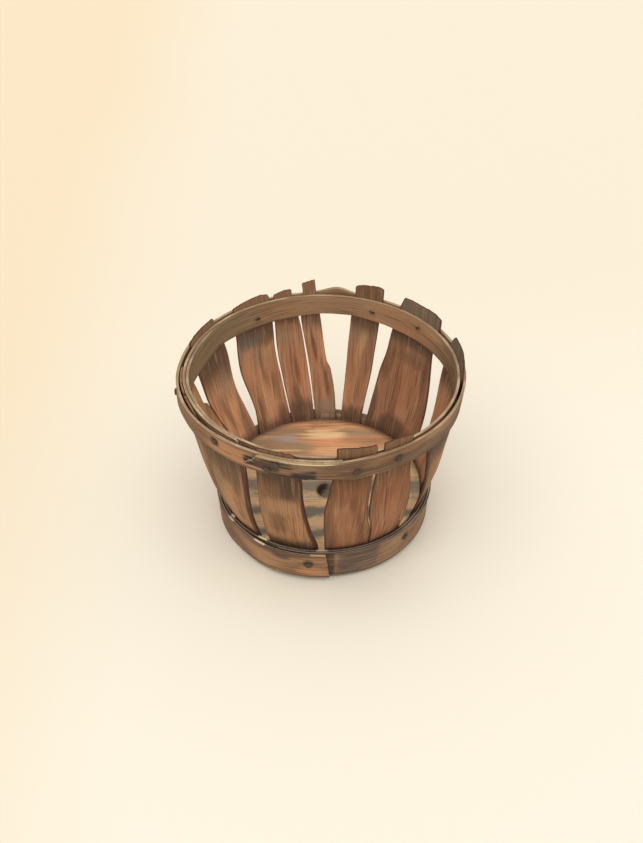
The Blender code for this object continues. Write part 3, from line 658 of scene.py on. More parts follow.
# Each strip's look. Past 360 degrees a bearing lies on the strip's second time round.
stripLooks = {
    "outerHoop": {
        "main": "brown", "light": "tan", "dark": "warmDark", "stain": "greyTan", "seed": 1,
        "lineCore": 0.6, "paintedLightGains": (0.96, 1.0), "streaks": 0.75, "threads": 0.3,
        "edge": "edgeTan", "edgeLight": "edgePale", "edgeDark": "dark",
        # the umber zone darkens its lower edge as painted shade
        "zones": (("umber", 0.02, 0.05, -0.2, 0.16, 0.8), ("edgePale", 0.985, 2.0, 0.955, 3.0, 0.7)),
        "spots": [
            # the orange and tan patches at 682 and 660 degrees are painted light on the lit left side
            ("orange", deg(682.0, 0.55, 12.0, 0.5, 0.9)), ("tan", deg(660.0, 0.6, 12.0, 0.3, 0.7)),
            ("greyTan", deg(362.0, 0.6, 16.0, 0.5, 0.7)), ("dark", deg(372.0, 0.30, 24.0, 0.18, 0.8)),
            ("warmDark", deg(394.0, 0.6, 22.0, 0.8, 0.7)), ("umber", deg(394.0, 0.32, 18.0, 0.16, 0.7)),
            ("umber", deg(412.0, 0.35, 18.0, 0.2, 0.7)), ("tan", deg(404.0, 0.8, 16.0, 0.2, 0.8)),
            ("umber", deg(440.0, 0.40, 18.0, 0.5, 0.85)), ("greyTan", deg(430.0, 0.8, 12.0, 0.3, 0.7)),
            ("tan", deg(337.0, 0.55, 12.0, 0.6, 1.0)), ("greyTan", deg(350.0, 0.5, 8.0, 0.5, 0.5)),
            ("cream", deg(354.0, 0.945, 24.0, 0.035, 0.9)),
            ("greyTan", deg(636.0, 0.5, 18.0, 0.6, 0.8)), ("warmDark", deg(632.0, 0.4, 18.0, 0.5, 0.8)),
            ("umber", deg(338.5, 0.60, 9.0, 0.30, 0.9)), ("dark", deg(345.0, 0.66, 7.0, 0.24, 0.7)),
            ("umber", deg(696.0, 0.52, 4.0, 0.34, 0.8)),
            ("warmDark", deg(655.0, 0.25, 16.0, 0.25, 0.7)), ("redDark", deg(668.0, 0.6, 9.0, 0.10, 0.5)),
        ] + [("nearBlack", deg(b, up, 2.5, 0.25, 1.0)) for b, up in nailDarkPatches],
        "stretches": (
            ("brick", 358.0, 377.0, 4.0, 0.7), ("warmDark", 384.0, 404.0, 4.0, 0.55),
            # the umber stretch from 424 to 452 degrees, with the umber patch at 440, is painted shade on
            # the right end
            ("umber", 424.0, 452.0, 6.0, 0.5), ("warmDark", 648.0, 672.0, 5.0, 0.6),
        ),
        "lines": [
            ("warmDark", row(0.50, 0.26, 688.0, 698.0, 0.7)),
            ("warmDark", row(0.52, 0.24, 328.0, 344.0, 0.7)),
            ("nearBlack", row(0.64, 0.11, 689.0, 698.0, 1.0)),
            ("nearBlack", row(0.38, 0.11, 688.5, 694.0, 1.0)),
            ("nearBlack", row(0.66, 0.10, 330.0, 340.0, 1.0)),
            ("nearBlack", row(0.38, 0.13, 327.0, 342.0, 1.0)),
            ("umber", row(0.84, 0.05, 333.0, 345.0, 0.8)),
            ("nearBlack", row(0.58, 0.07, 341.0, 350.0, 1.0)),
            ("umber", row(0.46, 0.28, 333.5, 345.5, 0.9)), ("umber", row(0.74, 0.20, 336.5, 350.0, 0.9)),
            ("warmDark", row(0.14, 0.20, 335.0, 357.0, 0.6)),
            ("nearBlack", row(0.06, 0.10, 338.0, 356.0, 0.9)),
            ("nearBlack", row(0.18, 0.24, 347.5, 359.0, 1.0)),
            ("nearBlack", row(0.10, 0.14, 705.0, 718.0, 1.0)),
            ("tan", row(0.19, 0.05, 329.0, 338.0, 0.8)),
            ("cream", row(0.925, 0.05, 343.0, 367.0, 1.0)),
            ("edgePale", row(0.93, 0.04, 333.0, 345.0, 0.8)),
            ("umber", row(0.42, 0.03, 368.0, 381.0, 0.9)), ("umber", row(0.53, 0.03, 386.0, 397.0, 0.9)),
            ("redDark", row(0.30, 0.03, 364.0, 384.0, 0.7)), ("umber", row(0.64, 0.03, 398.0, 414.0, 0.8)),
            ("umber", row(0.22, 0.04, 396.0, 420.0, 0.8)), ("umber", row(0.33, 0.03, 676.0, 684.0, 0.8)),
            ("umber", row(0.70, 0.02, 360.0, 378.0, 0.6)),
        ],
    },
    "innerHoop": {
        "main": "yellowTan", "light": "tan", "dark": "greyTan", "stain": "brown", "seed": 2,
        "seamless": True, "paintedLightGains": (1.0, 0.97), "streaks": 0.7, "threads": 0.35,
        "edge": "edgeTan", "edgeLight": "edgePale", "edgeDark": "dark",
        # the umber zone darkens its lower edge as painted shade
        "zones": (
            ("edgePale", 0.985, 2.0, 0.965, 3.0, 0.6), ("umber", -0.1, -0.02, -0.2, 0.12, 0.8),
        ),
        "spots": [
            ("brown", deg(480.0, 0.2, 30.0, 0.4, 0.5)),
            ("orange", deg(515.0, 0.1, 26.0, 0.3, 0.7)), ("greenGrey", deg(455.0, 0.6, 18.0, 0.6, 0.8)),
            ("umber", deg(570.8, 0.35, 1.8, 0.10, 0.8)), ("umber", deg(515.1, 0.44, 2.0, 0.10, 0.7)),
            ("umber", deg(491.2, 0.56, 1.8, 0.12, 0.7)), ("nearBlack", deg(235.0, 0.04, 3.0, 0.12, 0.9)),
            ("brown", deg(560.0, 0.8, 24.0, 0.2, 0.6)), ("dark", deg(450.0, 0.2, 14.0, 0.3, 0.7)),
            ("brown", deg(298.0, 0.4, 10.0, 0.5, 0.8)), ("orange", deg(540.0, 0.4, 30.0, 0.3, 0.7)),
            ("tan", deg(535.0, 0.6, 22.0, 0.4, 0.8)), ("warmDark", deg(462.0, 0.4, 16.0, 0.5, 0.6)),
        ],
        "stretches": (
            ("greenGrey", 575.0, 700.0, 20.0, 0.6), ("greenGrey", 200.0, 285.0, 14.0, 0.6),
            ("tan", 496.0, 556.0, 14.0, 0.7), ("orange", 486.0, 520.0, 10.0, 0.5),
            # the warm dark stretch from 424 to 464 degrees is painted shade on the lower right
            ("edgeTan", 500.0, 556.0, 12.0, 0.35), ("warmDark", 424.0, 464.0, 10.0, 0.5),
        ),
        "lines": [
            ("umber", row(0.30, 0.018, 496.0, 545.0, 0.5)), ("umber", row(0.66, 0.014, 520.0, 575.0, 0.5)),
            ("brown", row(0.48, 0.03, 470.0, 520.0, 0.6)), ("umber", row(0.80, 0.014, 462.0, 500.0, 0.5)),
            ("umber", row(0.52, 0.014, 560.0, 600.0, 0.6)), ("brown", row(0.20, 0.03, 545.0, 590.0, 0.5)),
        ],
    },
    "innerBand": {
        "main": "greyTan", "light": "paleGrey", "dark": "umber", "stain": "grey", "seed": 3,
        # its cut edges are painted umber and near black as painted shade, the staves' shadow on its top
        # edge
        "paintedLightGains": (1.0, 1.25), "edge": "umber", "edgeLight": "dark", "edgeDark": "nearBlack",
        "edgeWear": 0.5, "edgeLine": ("silver", 0.25, 0.16, 0.75),
        "litEdgePatches": (
            ("cream", 303.2, 1.6, 0.9), ("cream", 327.0, 3.0, 0.9), ("paleTan", 359.4, 3.2, 0.9),
        ),
        # the near black zone darkens its bottom edge as painted shade
        "zones": (("silver", 0.05, 0.10, 0.02, 0.16, 0.9), ("nearBlack", -0.1, 0.0, -0.2, 0.03, 0.9)),
    },
    "outerBand": {
        "main": "brown", "light": "tan", "dark": "warmDark", "stain": "greyTan", "seed": 4,
        "streaks": 0.7, "threads": 0.3,
        # its cut edges are painted dark and near black as painted shade, the staves' shadow on its top edge
        "edge": "dark", "edgeLight": "greyTan", "edgeDark": "nearBlack", "edgeWear": 0.4,
        "edgeLine": ("silver", 0.55, 0.2, 0.7),
        "litEdgePatches": (
            ("cream", 304.6, 2.6, 0.9), ("cream", 327.6, 3.6, 0.9), ("paleTan", 357.6, 4.2, 0.95),
        ),
        # the first umber zone darkens its bottom edge as painted shade
        "zones": (
            ("umber", 0.0, 0.02, -0.2, 0.12, 0.8), ("umber", 0.93, 0.965, 0.86, 0.99, 0.7),
        ),
        "spots": [
            ("yellowTan", deg(38.0, 0.45, 8.0, 0.4, 0.9)), ("orange", deg(353.0, 0.25, 8.0, 0.25, 0.9)),
            ("greyTan", deg(312.0, 0.7, 18.0, 0.5, 0.7)), ("warmDark", deg(318.0, 0.3, 16.0, 0.3, 0.7)),
            ("umber", deg(334.0, 0.82, 14.0, 0.16, 0.8)), ("dark", deg(296.0, 0.5, 12.0, 1.2, 0.8)),
            ("tan", deg(330.0, 0.45, 16.0, 0.4, 0.9)), ("umber", deg(339.0, 0.76, 5.0, 0.14, 0.8)),
            ("nearBlack", deg(352.7, 0.60, 2.7, 0.19, 1.0)), ("nearBlack", deg(46.9, 0.66, 2.7, 0.19, 1.0)),
        ],
        "stretches": (
            ("nearBlack", -24.0, 5.6, 0.9, 0.8), ("slate", 7.4, 29.0, 1.6, 0.8),
            ("umber", 8.0, 26.0, 4.0, 0.35), ("greyTan", 30.0, 52.0, 5.0, 0.5),
            # the dark stretch from 51 to 84 degrees is painted shade on the right end
            ("dark", 51.0, 84.0, 5.0, 0.4),
        ),
        "lines": [
            ("umber", row(0.80, 0.16, 7.0, 32.0, 0.8)), ("brown", row(0.15, 0.12, 18.0, 36.0, 0.6)),
            ("nearBlack", row(0.58, 0.022, 346.0, 361.0, 0.9)),
            ("umber", row(0.34, 0.02, 340.0, 359.0, 0.6)),
            ("umber", row(0.12, 0.02, 306.0, 360.0, 0.7)), ("umber", row(0.45, 0.02, 24.0, 46.0, 0.6)),
            ("umber", row(0.66, 0.02, 47.0, 54.0, 0.9)), ("umber", row(0.76, 0.02, 300.0, 330.0, 0.6)),
        ],
    },
}

# Staves
# Each stave: its low-bearing edge and its high-bearing edge as (share of the height, bearing),
# and its top as (share of the width from the low edge, rise over the rim as a share of the height)
staveShapes = (
    {
        "low": ((0.0, 1.0), (0.25, 0.7), (0.56, 0.5), (0.72, 2.4), (0.85, 4.0), (1.0, 5.6)),
        "high": (
            (0.0, 23.7), (0.28, 23.4), (0.39, 22.4), (0.5, 20.2),
            (0.6, 19.7), (0.85, 20.3), (1.0, 21.3),
        ),
        "top": ((0.0, 0.072), (0.5, 0.061), (1.0, 0.053)),
    },
    {
        "low": (
            (0.0, 24.4), (0.28, 24.1), (0.39, 23.1), (0.5, 21.0),
            (0.6, 20.7), (0.85, 21.7), (1.0, 24.1),
        ),
        "high": ((0.0, 44.6), (0.2, 45.0), (0.31, 43.6), (0.6, 41.0), (0.85, 37.6), (1.0, 37.0)),
        "top": ((0.0, 0.054), (0.45, 0.058), (1.0, 0.044)),
    },
    {
        "low": ((0.0, 59.5), (0.24, 58.0), (0.5, 53.6), (0.81, 48.4), (1.0, 47.6)),
        "high": ((0.0, 76.0), (0.3, 75.0), (0.6, 73.0), (1.0, 70.5)),
        "top": ((0.0, -0.026), (0.3, -0.034), (0.7, -0.030), (1.0, -0.042)),
    },
    {
        "low": ((0.0, 84.0), (0.3, 83.5), (0.6, 82.6), (1.0, 81.6)),
        "high": (
            (0.0, 106.5), (0.35, 107.0), (0.49, 107.9),
            (0.83, 110.3), (1.0, 107.9), (1.07, 105.4),
        ),
        "top": ((0.0, 0.016), (0.2, 0.060), (0.5, 0.074), (1.0, 0.070)),
    },
    {
        "low": ((0.0, 113.5), (0.35, 114.4), (0.6, 117.2), (0.86, 120.8), (1.0, 118.3)),
        "high": (
            (0.0, 155.2), (0.27, 153.1), (0.55, 150.1), (0.69, 147.4),
            (0.86, 145.6), (1.0, 143.1), (1.07, 141.2),
        ),
        "top": ((0.0, 0.068), (0.2, 0.079), (0.6, 0.074), (1.0, 0.076)),
    },
    {
        "low": ((0.0, 157.3), (0.24, 156.7), (0.55, 154.4), (0.86, 152.8), (1.0, 151.7)),
        "high": ((0.0, 169.6), (0.21, 169.1), (0.5, 168.0), (0.87, 166.4), (1.0, 164.8)),
        "top": ((0.0, 0.078), (0.2, 0.087), (0.8, 0.076), (1.0, 0.066)),
    },
    {
        "low": (
            (0.0, 172.0), (0.24, 172.5), (0.5, 175.8), (0.56, 178.0),
            (0.85, 180.8), (1.0, 182.4), (1.08, 183.0),
        ),
        "high": (
            (0.0, 184.4), (0.21, 184.6), (0.6, 187.4),
            (0.85, 189.8), (1.0, 188.5), (1.07, 188.8),
        ),
        "top": ((0.0, 0.092), (1.0, 0.070)),
    },
    {
        "low": ((0.0, 185.3), (0.21, 185.4), (0.6, 188.2), (0.85, 190.8), (1.0, 193.6)),
        "high": ((0.0, 198.7), (0.2, 199.0), (0.66, 202.3), (0.85, 202.3), (1.0, 202.0)),
        "top": ((0.0, 0.042), (0.4, 0.040), (1.0, 0.022)),
    },
    {
        "low": (
            (0.0, 199.7), (0.22, 199.9), (0.45, 201.6),
            (0.66, 203.4), (0.85, 203.5), (1.0, 204.3),
        ),
        "high": (
            (0.0, 221.2), (0.2, 221.6), (0.34, 219.9),
            (0.61, 223.6), (0.83, 223.0), (1.0, 222.8),
        ),
        "top": ((0.0, 0.034), (0.2, 0.044), (0.6, 0.033), (1.0, 0.018)),
    },
    {
        "low": (
            (0.0, 222.7), (0.2, 223.1), (0.36, 225.5),
            (0.54, 228.8), (0.82, 230.2), (1.0, 234.6),
        ),
        "high": (
            (0.0, 243.4), (0.34, 244.0), (0.45, 247.0),
            (0.6, 250.8), (0.77, 252.6), (1.0, 254.5),
        ),
        "top": ((0.0, 0.034), (0.5, 0.032), (1.0, 0.025)),
    },
    {
        "low": (
            (0.0, 244.0), (0.34, 244.7), (0.6, 252.2), (0.625, 255.4),
            (0.75, 258.3), (0.88, 262.0), (1.0, 268.0),
        ),
        "high": ((0.0, 285.4), (0.5, 285.6), (1.0, 286.0)),
        "top": ((0.0, -0.006), (0.4, -0.002), (1.0, -0.005)),
    },
    {
        "low": ((0.0, 286.4), (0.5, 286.7), (1.0, 287.1)),
        "high": ((0.0, 302.4), (0.33, 302.6), (0.6, 302.9), (0.85, 303.0), (1.0, 298.4)),
        "top": ((0.0, -0.007), (0.6, -0.010), (1.0, -0.024)),
    },
    {
        "low": ((0.0, 303.4), (0.33, 303.6), (0.6, 303.9), (0.82, 304.4), (1.0, 309.6)),
        "high": ((0.0, 324.0), (0.24, 324.8), (0.5, 326.4), (0.86, 328.2), (1.0, 329.2)),
        "top": ((0.0, 0.005), (0.6, 0.004), (0.8, -0.012), (1.0, 0.006)),
    },
    {
        "low": ((0.0, 330.2), (0.26, 330.9), (0.5, 331.8), (0.82, 333.0), (1.0, 334.8)),
        "high": (
            (0.0, 358.0), (0.25, 357.4), (0.43, 354.5),
            (0.66, 352.2), (0.83, 352.0), (1.0, 350.8),
        ),
        "top": ((0.0, 0.017), (0.6, 0.020), (0.8, 0.019), (1.0, 0.003)),
    },
)
staveForm = {
    "cell": 0.0007, "row": 0.0009, "drift": 0.14, "nick": 0.05, "warp": 0.00045, "chip": 0.00035,
    "corner": 0.0008, "bevel": 0.0002, "seedStep": 31.0,
    # how many waves a stave's edges have up its height, slow and quick, and its top across it
    "edgeWaves": (7.0, 41.0), "topWaves": (9.0, 31.0),
    # the warp's slow and quick part: waves across it, waves to the metre up it, shift of the seed
    "sway": ((2.2, 38.0, 40.0), (5.0, 12.0, 50.0)), "fewestColumns": 16,
    # the heights between which it is free of the hoops and bands, and may warp
    "free": (0.026, 0.032, 0.074, 0.083),
}
# Each stave's look. Painted light gains: how much lighter than its tones it is painted, outside and inside,
# to make up for the shade on each face. Spots: tone, then middle across it as a share of its width and up
# it in metres, half sizes alike, and strength. Lines: tone, then middle, lean, half width, ends and
# strength.
# Shaded sides, painted shade along its long edges: tone, edge, width, strength. Zones: tone, then the
# heights of its full part, the heights where it has ended, and strength. The dark zones under the hoops and
# over the bands, and the wide dark spots at those heights, are painted shade.
# zones that darken a stave just under the hoops and just above the bands, painted shade in red brown
redShadeZones = (
    ("brick", 0.0850, 0.0975, 0.0720, 0.0995, 0.9), ("umber", 0.0850, 0.0975, 0.0825, 0.0995, 0.5),
    ("umber", 0.0215, -0.01, 0.0265, -0.02, 0.6),
)
staveLooks = (
    {"light": "pink", "dark": "warmDark", "seed": 11, "paintedLightGains": (0.92, 1.0), "tab": "tabBrown",
     "zones": redShadeZones, "rims": (("umber", 0.0, 0.04, 0.9), ("redDark", 1.0, 0.03, 0.8)),
     "spots": [
        ("tan", (0.40, 0.064, 0.26, 0.012, 0.7)), ("pink", (0.5, 0.047, 0.4, 0.02, 0.7)),
        ("warmDark", (0.12, 0.04, 0.18, 0.02, 0.7)), ("umber", (0.04, 0.0755, 0.16, 0.007, 0.8)),
        ("redBrown", (0.6, 0.076, 0.7, 0.014, 1.0)), ("redDark", (0.8, 0.04, 0.10, 0.022, 0.5)),
        ("brick", (0.65, 0.064, 0.12, 0.008, 0.6))],
     "lines": [("umber", (0.93, 0.6, 0.012, 0.026, 0.086, 0.5))]},
    {"light": "pink", "dark": "warmDark", "seed": 12, "paintedLightGains": (0.98, 1.0), "tab": "tabBrown",
     "zones": redShadeZones, "rims": (("umber", 0.0, 0.03, 0.8), ("redDark", 1.0, 0.03, 0.7)),
     "spots": [
        ("redBrown", (0.55, 0.074, 0.8, 0.018, 1.0)), ("pink", (0.5, 0.044, 0.4, 0.016, 0.7)),
        ("warmDark", (0.1, 0.06, 0.12, 0.02, 0.6)), ("umber", (0.86, 0.0245, 0.14, 0.004, 0.7))],
     "lines": [
        ("tan", (0.30, 0.4, 0.022, 0.026, 0.078, 0.5)), ("redDark", (0.35, 0.4, 0.02, 0.026, 0.080, 0.7)),
        ("tan", (0.16, -0.6, 0.014, 0.03, 0.07, 0.4)), ("redDark", (0.20, -0.6, 0.012, 0.03, 0.06, 0.5)),
        ("cream", (0.87, -0.3, 0.009, 0.027, 0.046, 0.7)),
        ("redDark", (0.70, 0.0, 0.014, 0.028, 0.06, 0.6))]},
    {"main": "brown", "light": "orange", "dark": "red", "stain": "greyTan", "seed": 13,
     "paintedLightGains": (1.08, 1.0), "tab": "tabGreen",
     "rims": (("nearBlack", 0.0, 0.10, 0.9), ("redDark", 1.0, 0.06, 0.7)),
     "spots": [
        ("dark", (0.4, 0.082, 1.2, 0.014, 1.0)), ("warmDark", (0.2, 0.06, 0.2, 0.03, 0.6)),
        ("umber", (0.5, 0.086, 1.2, 0.008, 1.0))]},
    {"main": "russet", "light": "tan", "seed": 14, "stain": "greyTan", "paintedLightGains": (1.0, 1.35),
     "tab": "tabGreen",
     "spots": [
        ("warmDark", (0.3, 0.066, 0.3, 0.012, 0.7)), ("umber", (0.5, 0.05, 0.2, 0.01, 0.5)),
        ("umber", (0.9, 0.082, 0.6, 0.010, 0.9)), ("pink", (0.7, 0.06, 0.3, 0.02, 0.7))]},
    {"main": "russet", "light": "tan", "seed": 15, "paintedLightGains": (1.0, 1.3), "tab": "tabGrey",
     "spots": [
        ("warmDark", (0.90, 0.066, 0.12, 0.014, 0.8)), ("warmDark", (0.12, 0.062, 0.10, 0.012, 0.8)),
        ("umber", (0.96, 0.031, 0.08, 0.014, 0.8)), ("tan", (0.44, 0.037, 0.12, 0.006, 0.6)),
        ("umber", (0.55, 0.026, 0.3, 0.007, 0.8)), ("dark", (0.4, 0.022, 0.7, 0.008, 0.8)),
        ("grey", (0.5, 0.082, 0.7, 0.0035, 1.0)), ("warmDark", (0.1, 0.04, 0.10, 0.02, 0.7)),
        ("nearBlack", (0.5, 0.088, 0.9, 0.0035, 0.8)), ("warmDark", (0.1, 0.075, 0.2, 0.012, 0.8)),
        ("pink", (0.5, 0.055, 0.2, 0.02, 0.5)), ("dark", (0.5, 0.072, 0.5, 0.005, 0.5))],
     "lines": [
        ("redDark", (0.69, 0.2, 0.006, 0.026, 0.08, 0.8)),
        ("redDark", (0.76, 0.1, 0.005, 0.026, 0.072, 0.5)),
        ("umber", (0.33, 0.1, 0.005, 0.03, 0.07, 0.4))]},
    {"main": "russet", "light": "tan", "seed": 16, "paintedLightGains": (1.0, 1.5), "tab": "tabBrown",
     "spots": [
        ("greyTan", (0.5, 0.078, 0.6, 0.008, 0.9)), ("yellowTan", (0.45, 0.072, 0.16, 0.010, 0.7)),
        ("umber", (0.5, 0.024, 0.9, 0.006, 0.9)), ("warmDark", (0.2, 0.06, 0.12, 0.014, 0.6))]},
    {"main": "russet", "light": "tan", "seed": 17, "paintedLightGains": (1.0, 1.8),
     "spots": [
        ("umber", (0.56, 0.068, 0.12, 0.012, 0.8)), ("umber", (0.30, 0.043, 0.12, 0.014, 0.8)),
        ("warmDark", (0.1, 0.036, 0.14, 0.02, 0.6)), ("grey", (0.5, 0.025, 0.9, 0.008, 0.8)),
        ("paleGrey", (0.45, 0.0215, 0.42, 0.0016, 0.8))]},
    {"main": "russet", "light": "tan", "seed": 18, "paintedLightGains": (1.0, 1.8),
     "spots": [
        ("orange", (0.5, 0.0825, 0.6, 0.003, 0.9)), ("greyTan", (0.75, 0.074, 0.6, 0.007, 0.8)),
        ("redDark", (0.42, 0.053, 0.10, 0.011, 0.6)), ("umber", (0.6, 0.034, 0.16, 0.010, 0.7)),
        ("umber", (0.5, 0.025, 0.9, 0.008, 0.9)), ("pink", (0.15, 0.055, 0.14, 0.02, 0.6))]},
    {"main": "russet", "light": "tan", "seed": 19, "paintedLightGains": (1.0, 1.95),
     "spots": [
        ("umber", (0.3, 0.080, 0.6, 0.008, 0.9)), ("greyTan", (0.9, 0.074, 0.2, 0.012, 0.7)),
        ("slate", (0.72, 0.079, 0.4, 0.007, 0.9)), ("greyTan", (0.45, 0.066, 0.3, 0.008, 0.6)),
        ("warmDark", (0.42, 0.055, 0.06, 0.018, 0.7)), ("umber", (0.80, 0.03, 0.10, 0.012, 0.7)),
        ("tan", (0.5, 0.036, 0.2, 0.014, 0.7)), ("tan", (0.8, 0.06, 0.14, 0.014, 0.5)),
        ("umber", (0.1, 0.024, 0.25, 0.008, 0.9)), ("umber", (0.95, 0.023, 0.2, 0.006, 0.8))]},
    {"main": "russet", "light": "tan", "seed": 20, "stain": "greyTan", "paintedLightGains": (1.0, 2.3),
     "zones": (
        ("nearBlack", 0.0765, 0.0975, 0.0650, 0.0995, 1.0), ("dark", 0.0680, 0.084, 0.0580, 0.088, 0.6),
        ("umber", 0.0215, -0.01, 0.0275, -0.02, 0.8)),
     "spots": [
        ("umber", (0.4, 0.080, 0.9, 0.010, 0.9)), ("grey", (0.15, 0.072, 0.3, 0.016, 0.9)),
        ("warmDark", (0.62, 0.044, 0.12, 0.014, 0.7)), ("dark", (0.2, 0.03, 0.2, 0.01, 0.6)),
        ("greyTan", (0.3, 0.060, 0.3, 0.010, 0.7))],
     "lines": [("redDark", (0.87, -2.4, 0.010, 0.036, 0.08, 0.85))]},
    {"main": "brown", "light": "tan", "stain": "greyTan", "seed": 21, "paintedLightGains": (1.0, 2.0),
     "edge": "brown", "edgeLight": "tan"},
    {"main": "brown", "light": "tan", "stain": "greyTan", "seed": 22, "paintedLightGains": (1.0, 1.0),
     "edge": "brown", "edgeLight": "tan",
     "spots": [("dark", (0.9, 0.06, 0.2, 0.05, 0.5))]},
    {"main": "brown", "light": "tan", "dark": "dark", "stain": "greyTan", "seed": 23,
     "paintedLightGains": (1.10, 1.0),
     "rims": (("redDark", 0.0, 0.02, 0.6), ("redDark", 1.0, 0.14, 1.0), ("nearBlack", 1.0, 0.05, 0.8)),
     "spots": [
        ("dark", (0.40, 0.078, 0.8, 0.014, 0.9)), ("greenGrey", (0.2, 0.058, 0.16, 0.016, 0.6)),
        ("dark", (0.72, 0.07, 0.14, 0.014, 0.7)), ("dark", (0.66, 0.05, 0.08, 0.018, 0.6)),
        ("tan", (0.45, 0.045, 0.3, 0.014, 0.7)), ("orange", (0.5, 0.031, 0.4, 0.006, 0.5))]},
    {"main": "brown", "light": "tan", "stain": "greyTan", "seed": 24, "paintedLightGains": (0.96, 1.0),
     "rims": (("redDark", 0.0, 0.02, 0.7), ("redDark", 1.0, 0.10, 1.0), ("nearBlack", 1.0, 0.04, 0.8)),
     "spots": [
        ("warmDark", (0.3, 0.076, 0.7, 0.012, 0.8)), ("umber", (0.75, 0.080, 0.3, 0.014, 0.9)),
        ("tan", (0.55, 0.060, 0.5, 0.007, 0.8)), ("warmDark", (0.42, 0.045, 0.05, 0.012, 0.8)),
        ("dark", (0.62, 0.052, 0.04, 0.004, 0.6)),
        ("orange", (0.75, 0.045, 0.2, 0.014, 0.7)), ("umber", (0.4, 0.026, 0.7, 0.006, 0.8)),
        ("orange", (0.4, 0.033, 0.4, 0.006, 0.5))]},
)
staveCommon = {
    "main": "red", "light": "pink", "dark": "warmDark", "stain": "brown",
    # the cut edges are painted dark red brown, and both long sides of each face darker, as painted shade
    # between the staves
    "edge": "redDark", "edgeLight": "dark", "edgeDark": "nearBlack", "edgeWear": 0.5,
    "rims": (("redDark", 0.0, 0.025, 0.6), ("redDark", 1.0, 0.03, 0.6)),
    # its zones darken it just under the hoops and just above the bands, as painted shade
    "zones": (
        ("umber", 0.0850, 0.0975, 0.0740, 0.0995, 0.85), ("umber", 0.0215, -0.01, 0.0265, -0.02, 0.6),
    ),
    "tab": "brown",
}
# Places where a stave is split through: stave, share across, half width, first and last height
staveSplits = ((2, 0.868, 0.018, 0.0225, 0.0335), (2, 0.875, 0.045, 0.0235, 0.0262))


def makeStave(number, shape, look):
    seed = staveForm["seedStep"] * number
    middle = 0.25 * sum(shape[key][k][1] for key in ("low", "high") for k in (0, -1))
    spread = max(high[1] for high in shape["high"]) - min(low[1] for low in shape["low"])
    width = math.radians(spread) * wall["grainRadius"]
    columns = max(staveForm["fewestColumns"], round(width / staveForm["cell"]))
    rows = round(wall["height"] / staveForm["row"])

    def topAt(across):
        top = wall["height"] * (1.0 + along(shape["top"], across))
        slow, quick = (wobble(across * staveForm["topWaves"][k], seed + 3.0 * k) for k in (0, 1))
        top += staveForm["chip"] * (slow + 0.6 * quick)
        fromEdge = min(across, 1.0 - across) * width
        if fromEdge < staveForm["corner"]:
            inset = staveForm["corner"] - fromEdge
            top -= staveForm["corner"] - math.sqrt(staveForm["corner"] ** 2 - inset ** 2)
        return top

    def edgeAt(key, share, shift):
        slow, quick = staveForm["edgeWaves"]
        edge = softAlong(shape[key], share)
        edge += staveForm["drift"] * wobble(share * slow, seed + shift)
        return edge + staveForm["nick"] * wobble(share * quick, seed + shift + 6.0)

    def bearingAt(across, height):
        share = height / wall["height"]
        return blend(edgeAt("low", share, 11.0), edgeAt("high", share, 23.0), across)

    def place(across, up, side):
        height = up * topAt(across)
        low, freeLow, freeHigh, high = staveForm["free"]
        loose = easeStep((height - low) / (freeLow - low))
        loose *= 1.0 - easeStep((height - freeHigh) / (high - freeHigh))
        slow, quick = (wobble(across * a, height * b, seed + c) for a, b, c in staveForm["sway"])
        offset = staveForm["warp"] * loose * (slow + 0.5 * quick) - side * stock["stave"]
        return wallPoint(bearingAt(across, height), height, offset)

    def tell(across, up):
        height = up * topAt(across)
        bearing = bearingAt(across, height)
        return math.radians(bearing - middle) * wall["grainRadius"], height, across, height

    def missing(across, up):
        height = up * topAt(across)
        for which, at, half, first, last in staveSplits:
            thin = half * min(1.0, 2.5 * (last - height) / (last - first))
            if which == number and first < height < last and abs(across - at) < thin:
                return True
        return False

    name = "stave%02d" % number
    split = missing if any(spec[0] == number for spec in staveSplits) else None
    looks = sheetLooks(name, {**lookCommon, **staveCommon, **look})
    piece = bentSheet(name, columns, rows, place, tell, split, looks, staveForm["bevel"])
    standFor(piece, "stave_%02d" % number, "stave")


for number, (shape, look) in enumerate(zip(staveShapes, staveLooks), 1):
    makeStave(number, shape, look)
print("staves made")

stripPlan = (
    ("outerHoop", outerHoop, outerHoopEdges, "top_outer_hoop", "hoop"),
    ("innerHoop", innerHoop, innerHoopEdges, "top_inner_hoop", "hoop"),
    ("innerBand", innerBand, bandEdges(innerBand), "bottom_inner_band", "inner_band"),
    ("outerBand", outerBand, bandEdges(outerBand), "bottom_outer_band", "outer_band"),
)
for name, form, edges, node, slot in stripPlan:
    looks = sheetLooks(name, {**lookCommon, **stripCommon, **stripLooks[name]})
    standFor(makeStrip(name, form, edges, looks), node, slot)
print("hoops and bands made")

# Bottom
board = {
    "top": 0.0195, "thickness": 0.0125, "edge": 0.0008, "sides": 144, "rings": 34, "edgeSteps": 4,
    "sideSteps": 12, "underRings": 12, "ripple": 0.00012, "sharpDegrees": 50.0,
    "knotX": 0.0026, "knotY": -0.0076, "knotWide": 0.0044, "knotLong": 0.0056, "knotDepth": 0.0024,
    "knotSides": 36, "knotFoot": 0.7, "knotMouth": 1.3, "knotWaves": 1.7, "knotUneven": 0.07,
    "knotShrink": 0.03, "knotLit": 0.0040, "knotLitEase": 0.004,
    # gain and frontGain lighten the board's tones: partly its own colour, partly painted light making up
    # for the shade inside the basket
    "gain": 1.66, "frontGain": 1.14, "frontFrom": 0.018, "frontFull": 0.008, "frontShow": 0.6,
    "bandFall": 0.02, "backShadeFrom": 0.0535, "backShadeFull": 0.0585, "relief": 0.00028, "bump": 0.6,
}
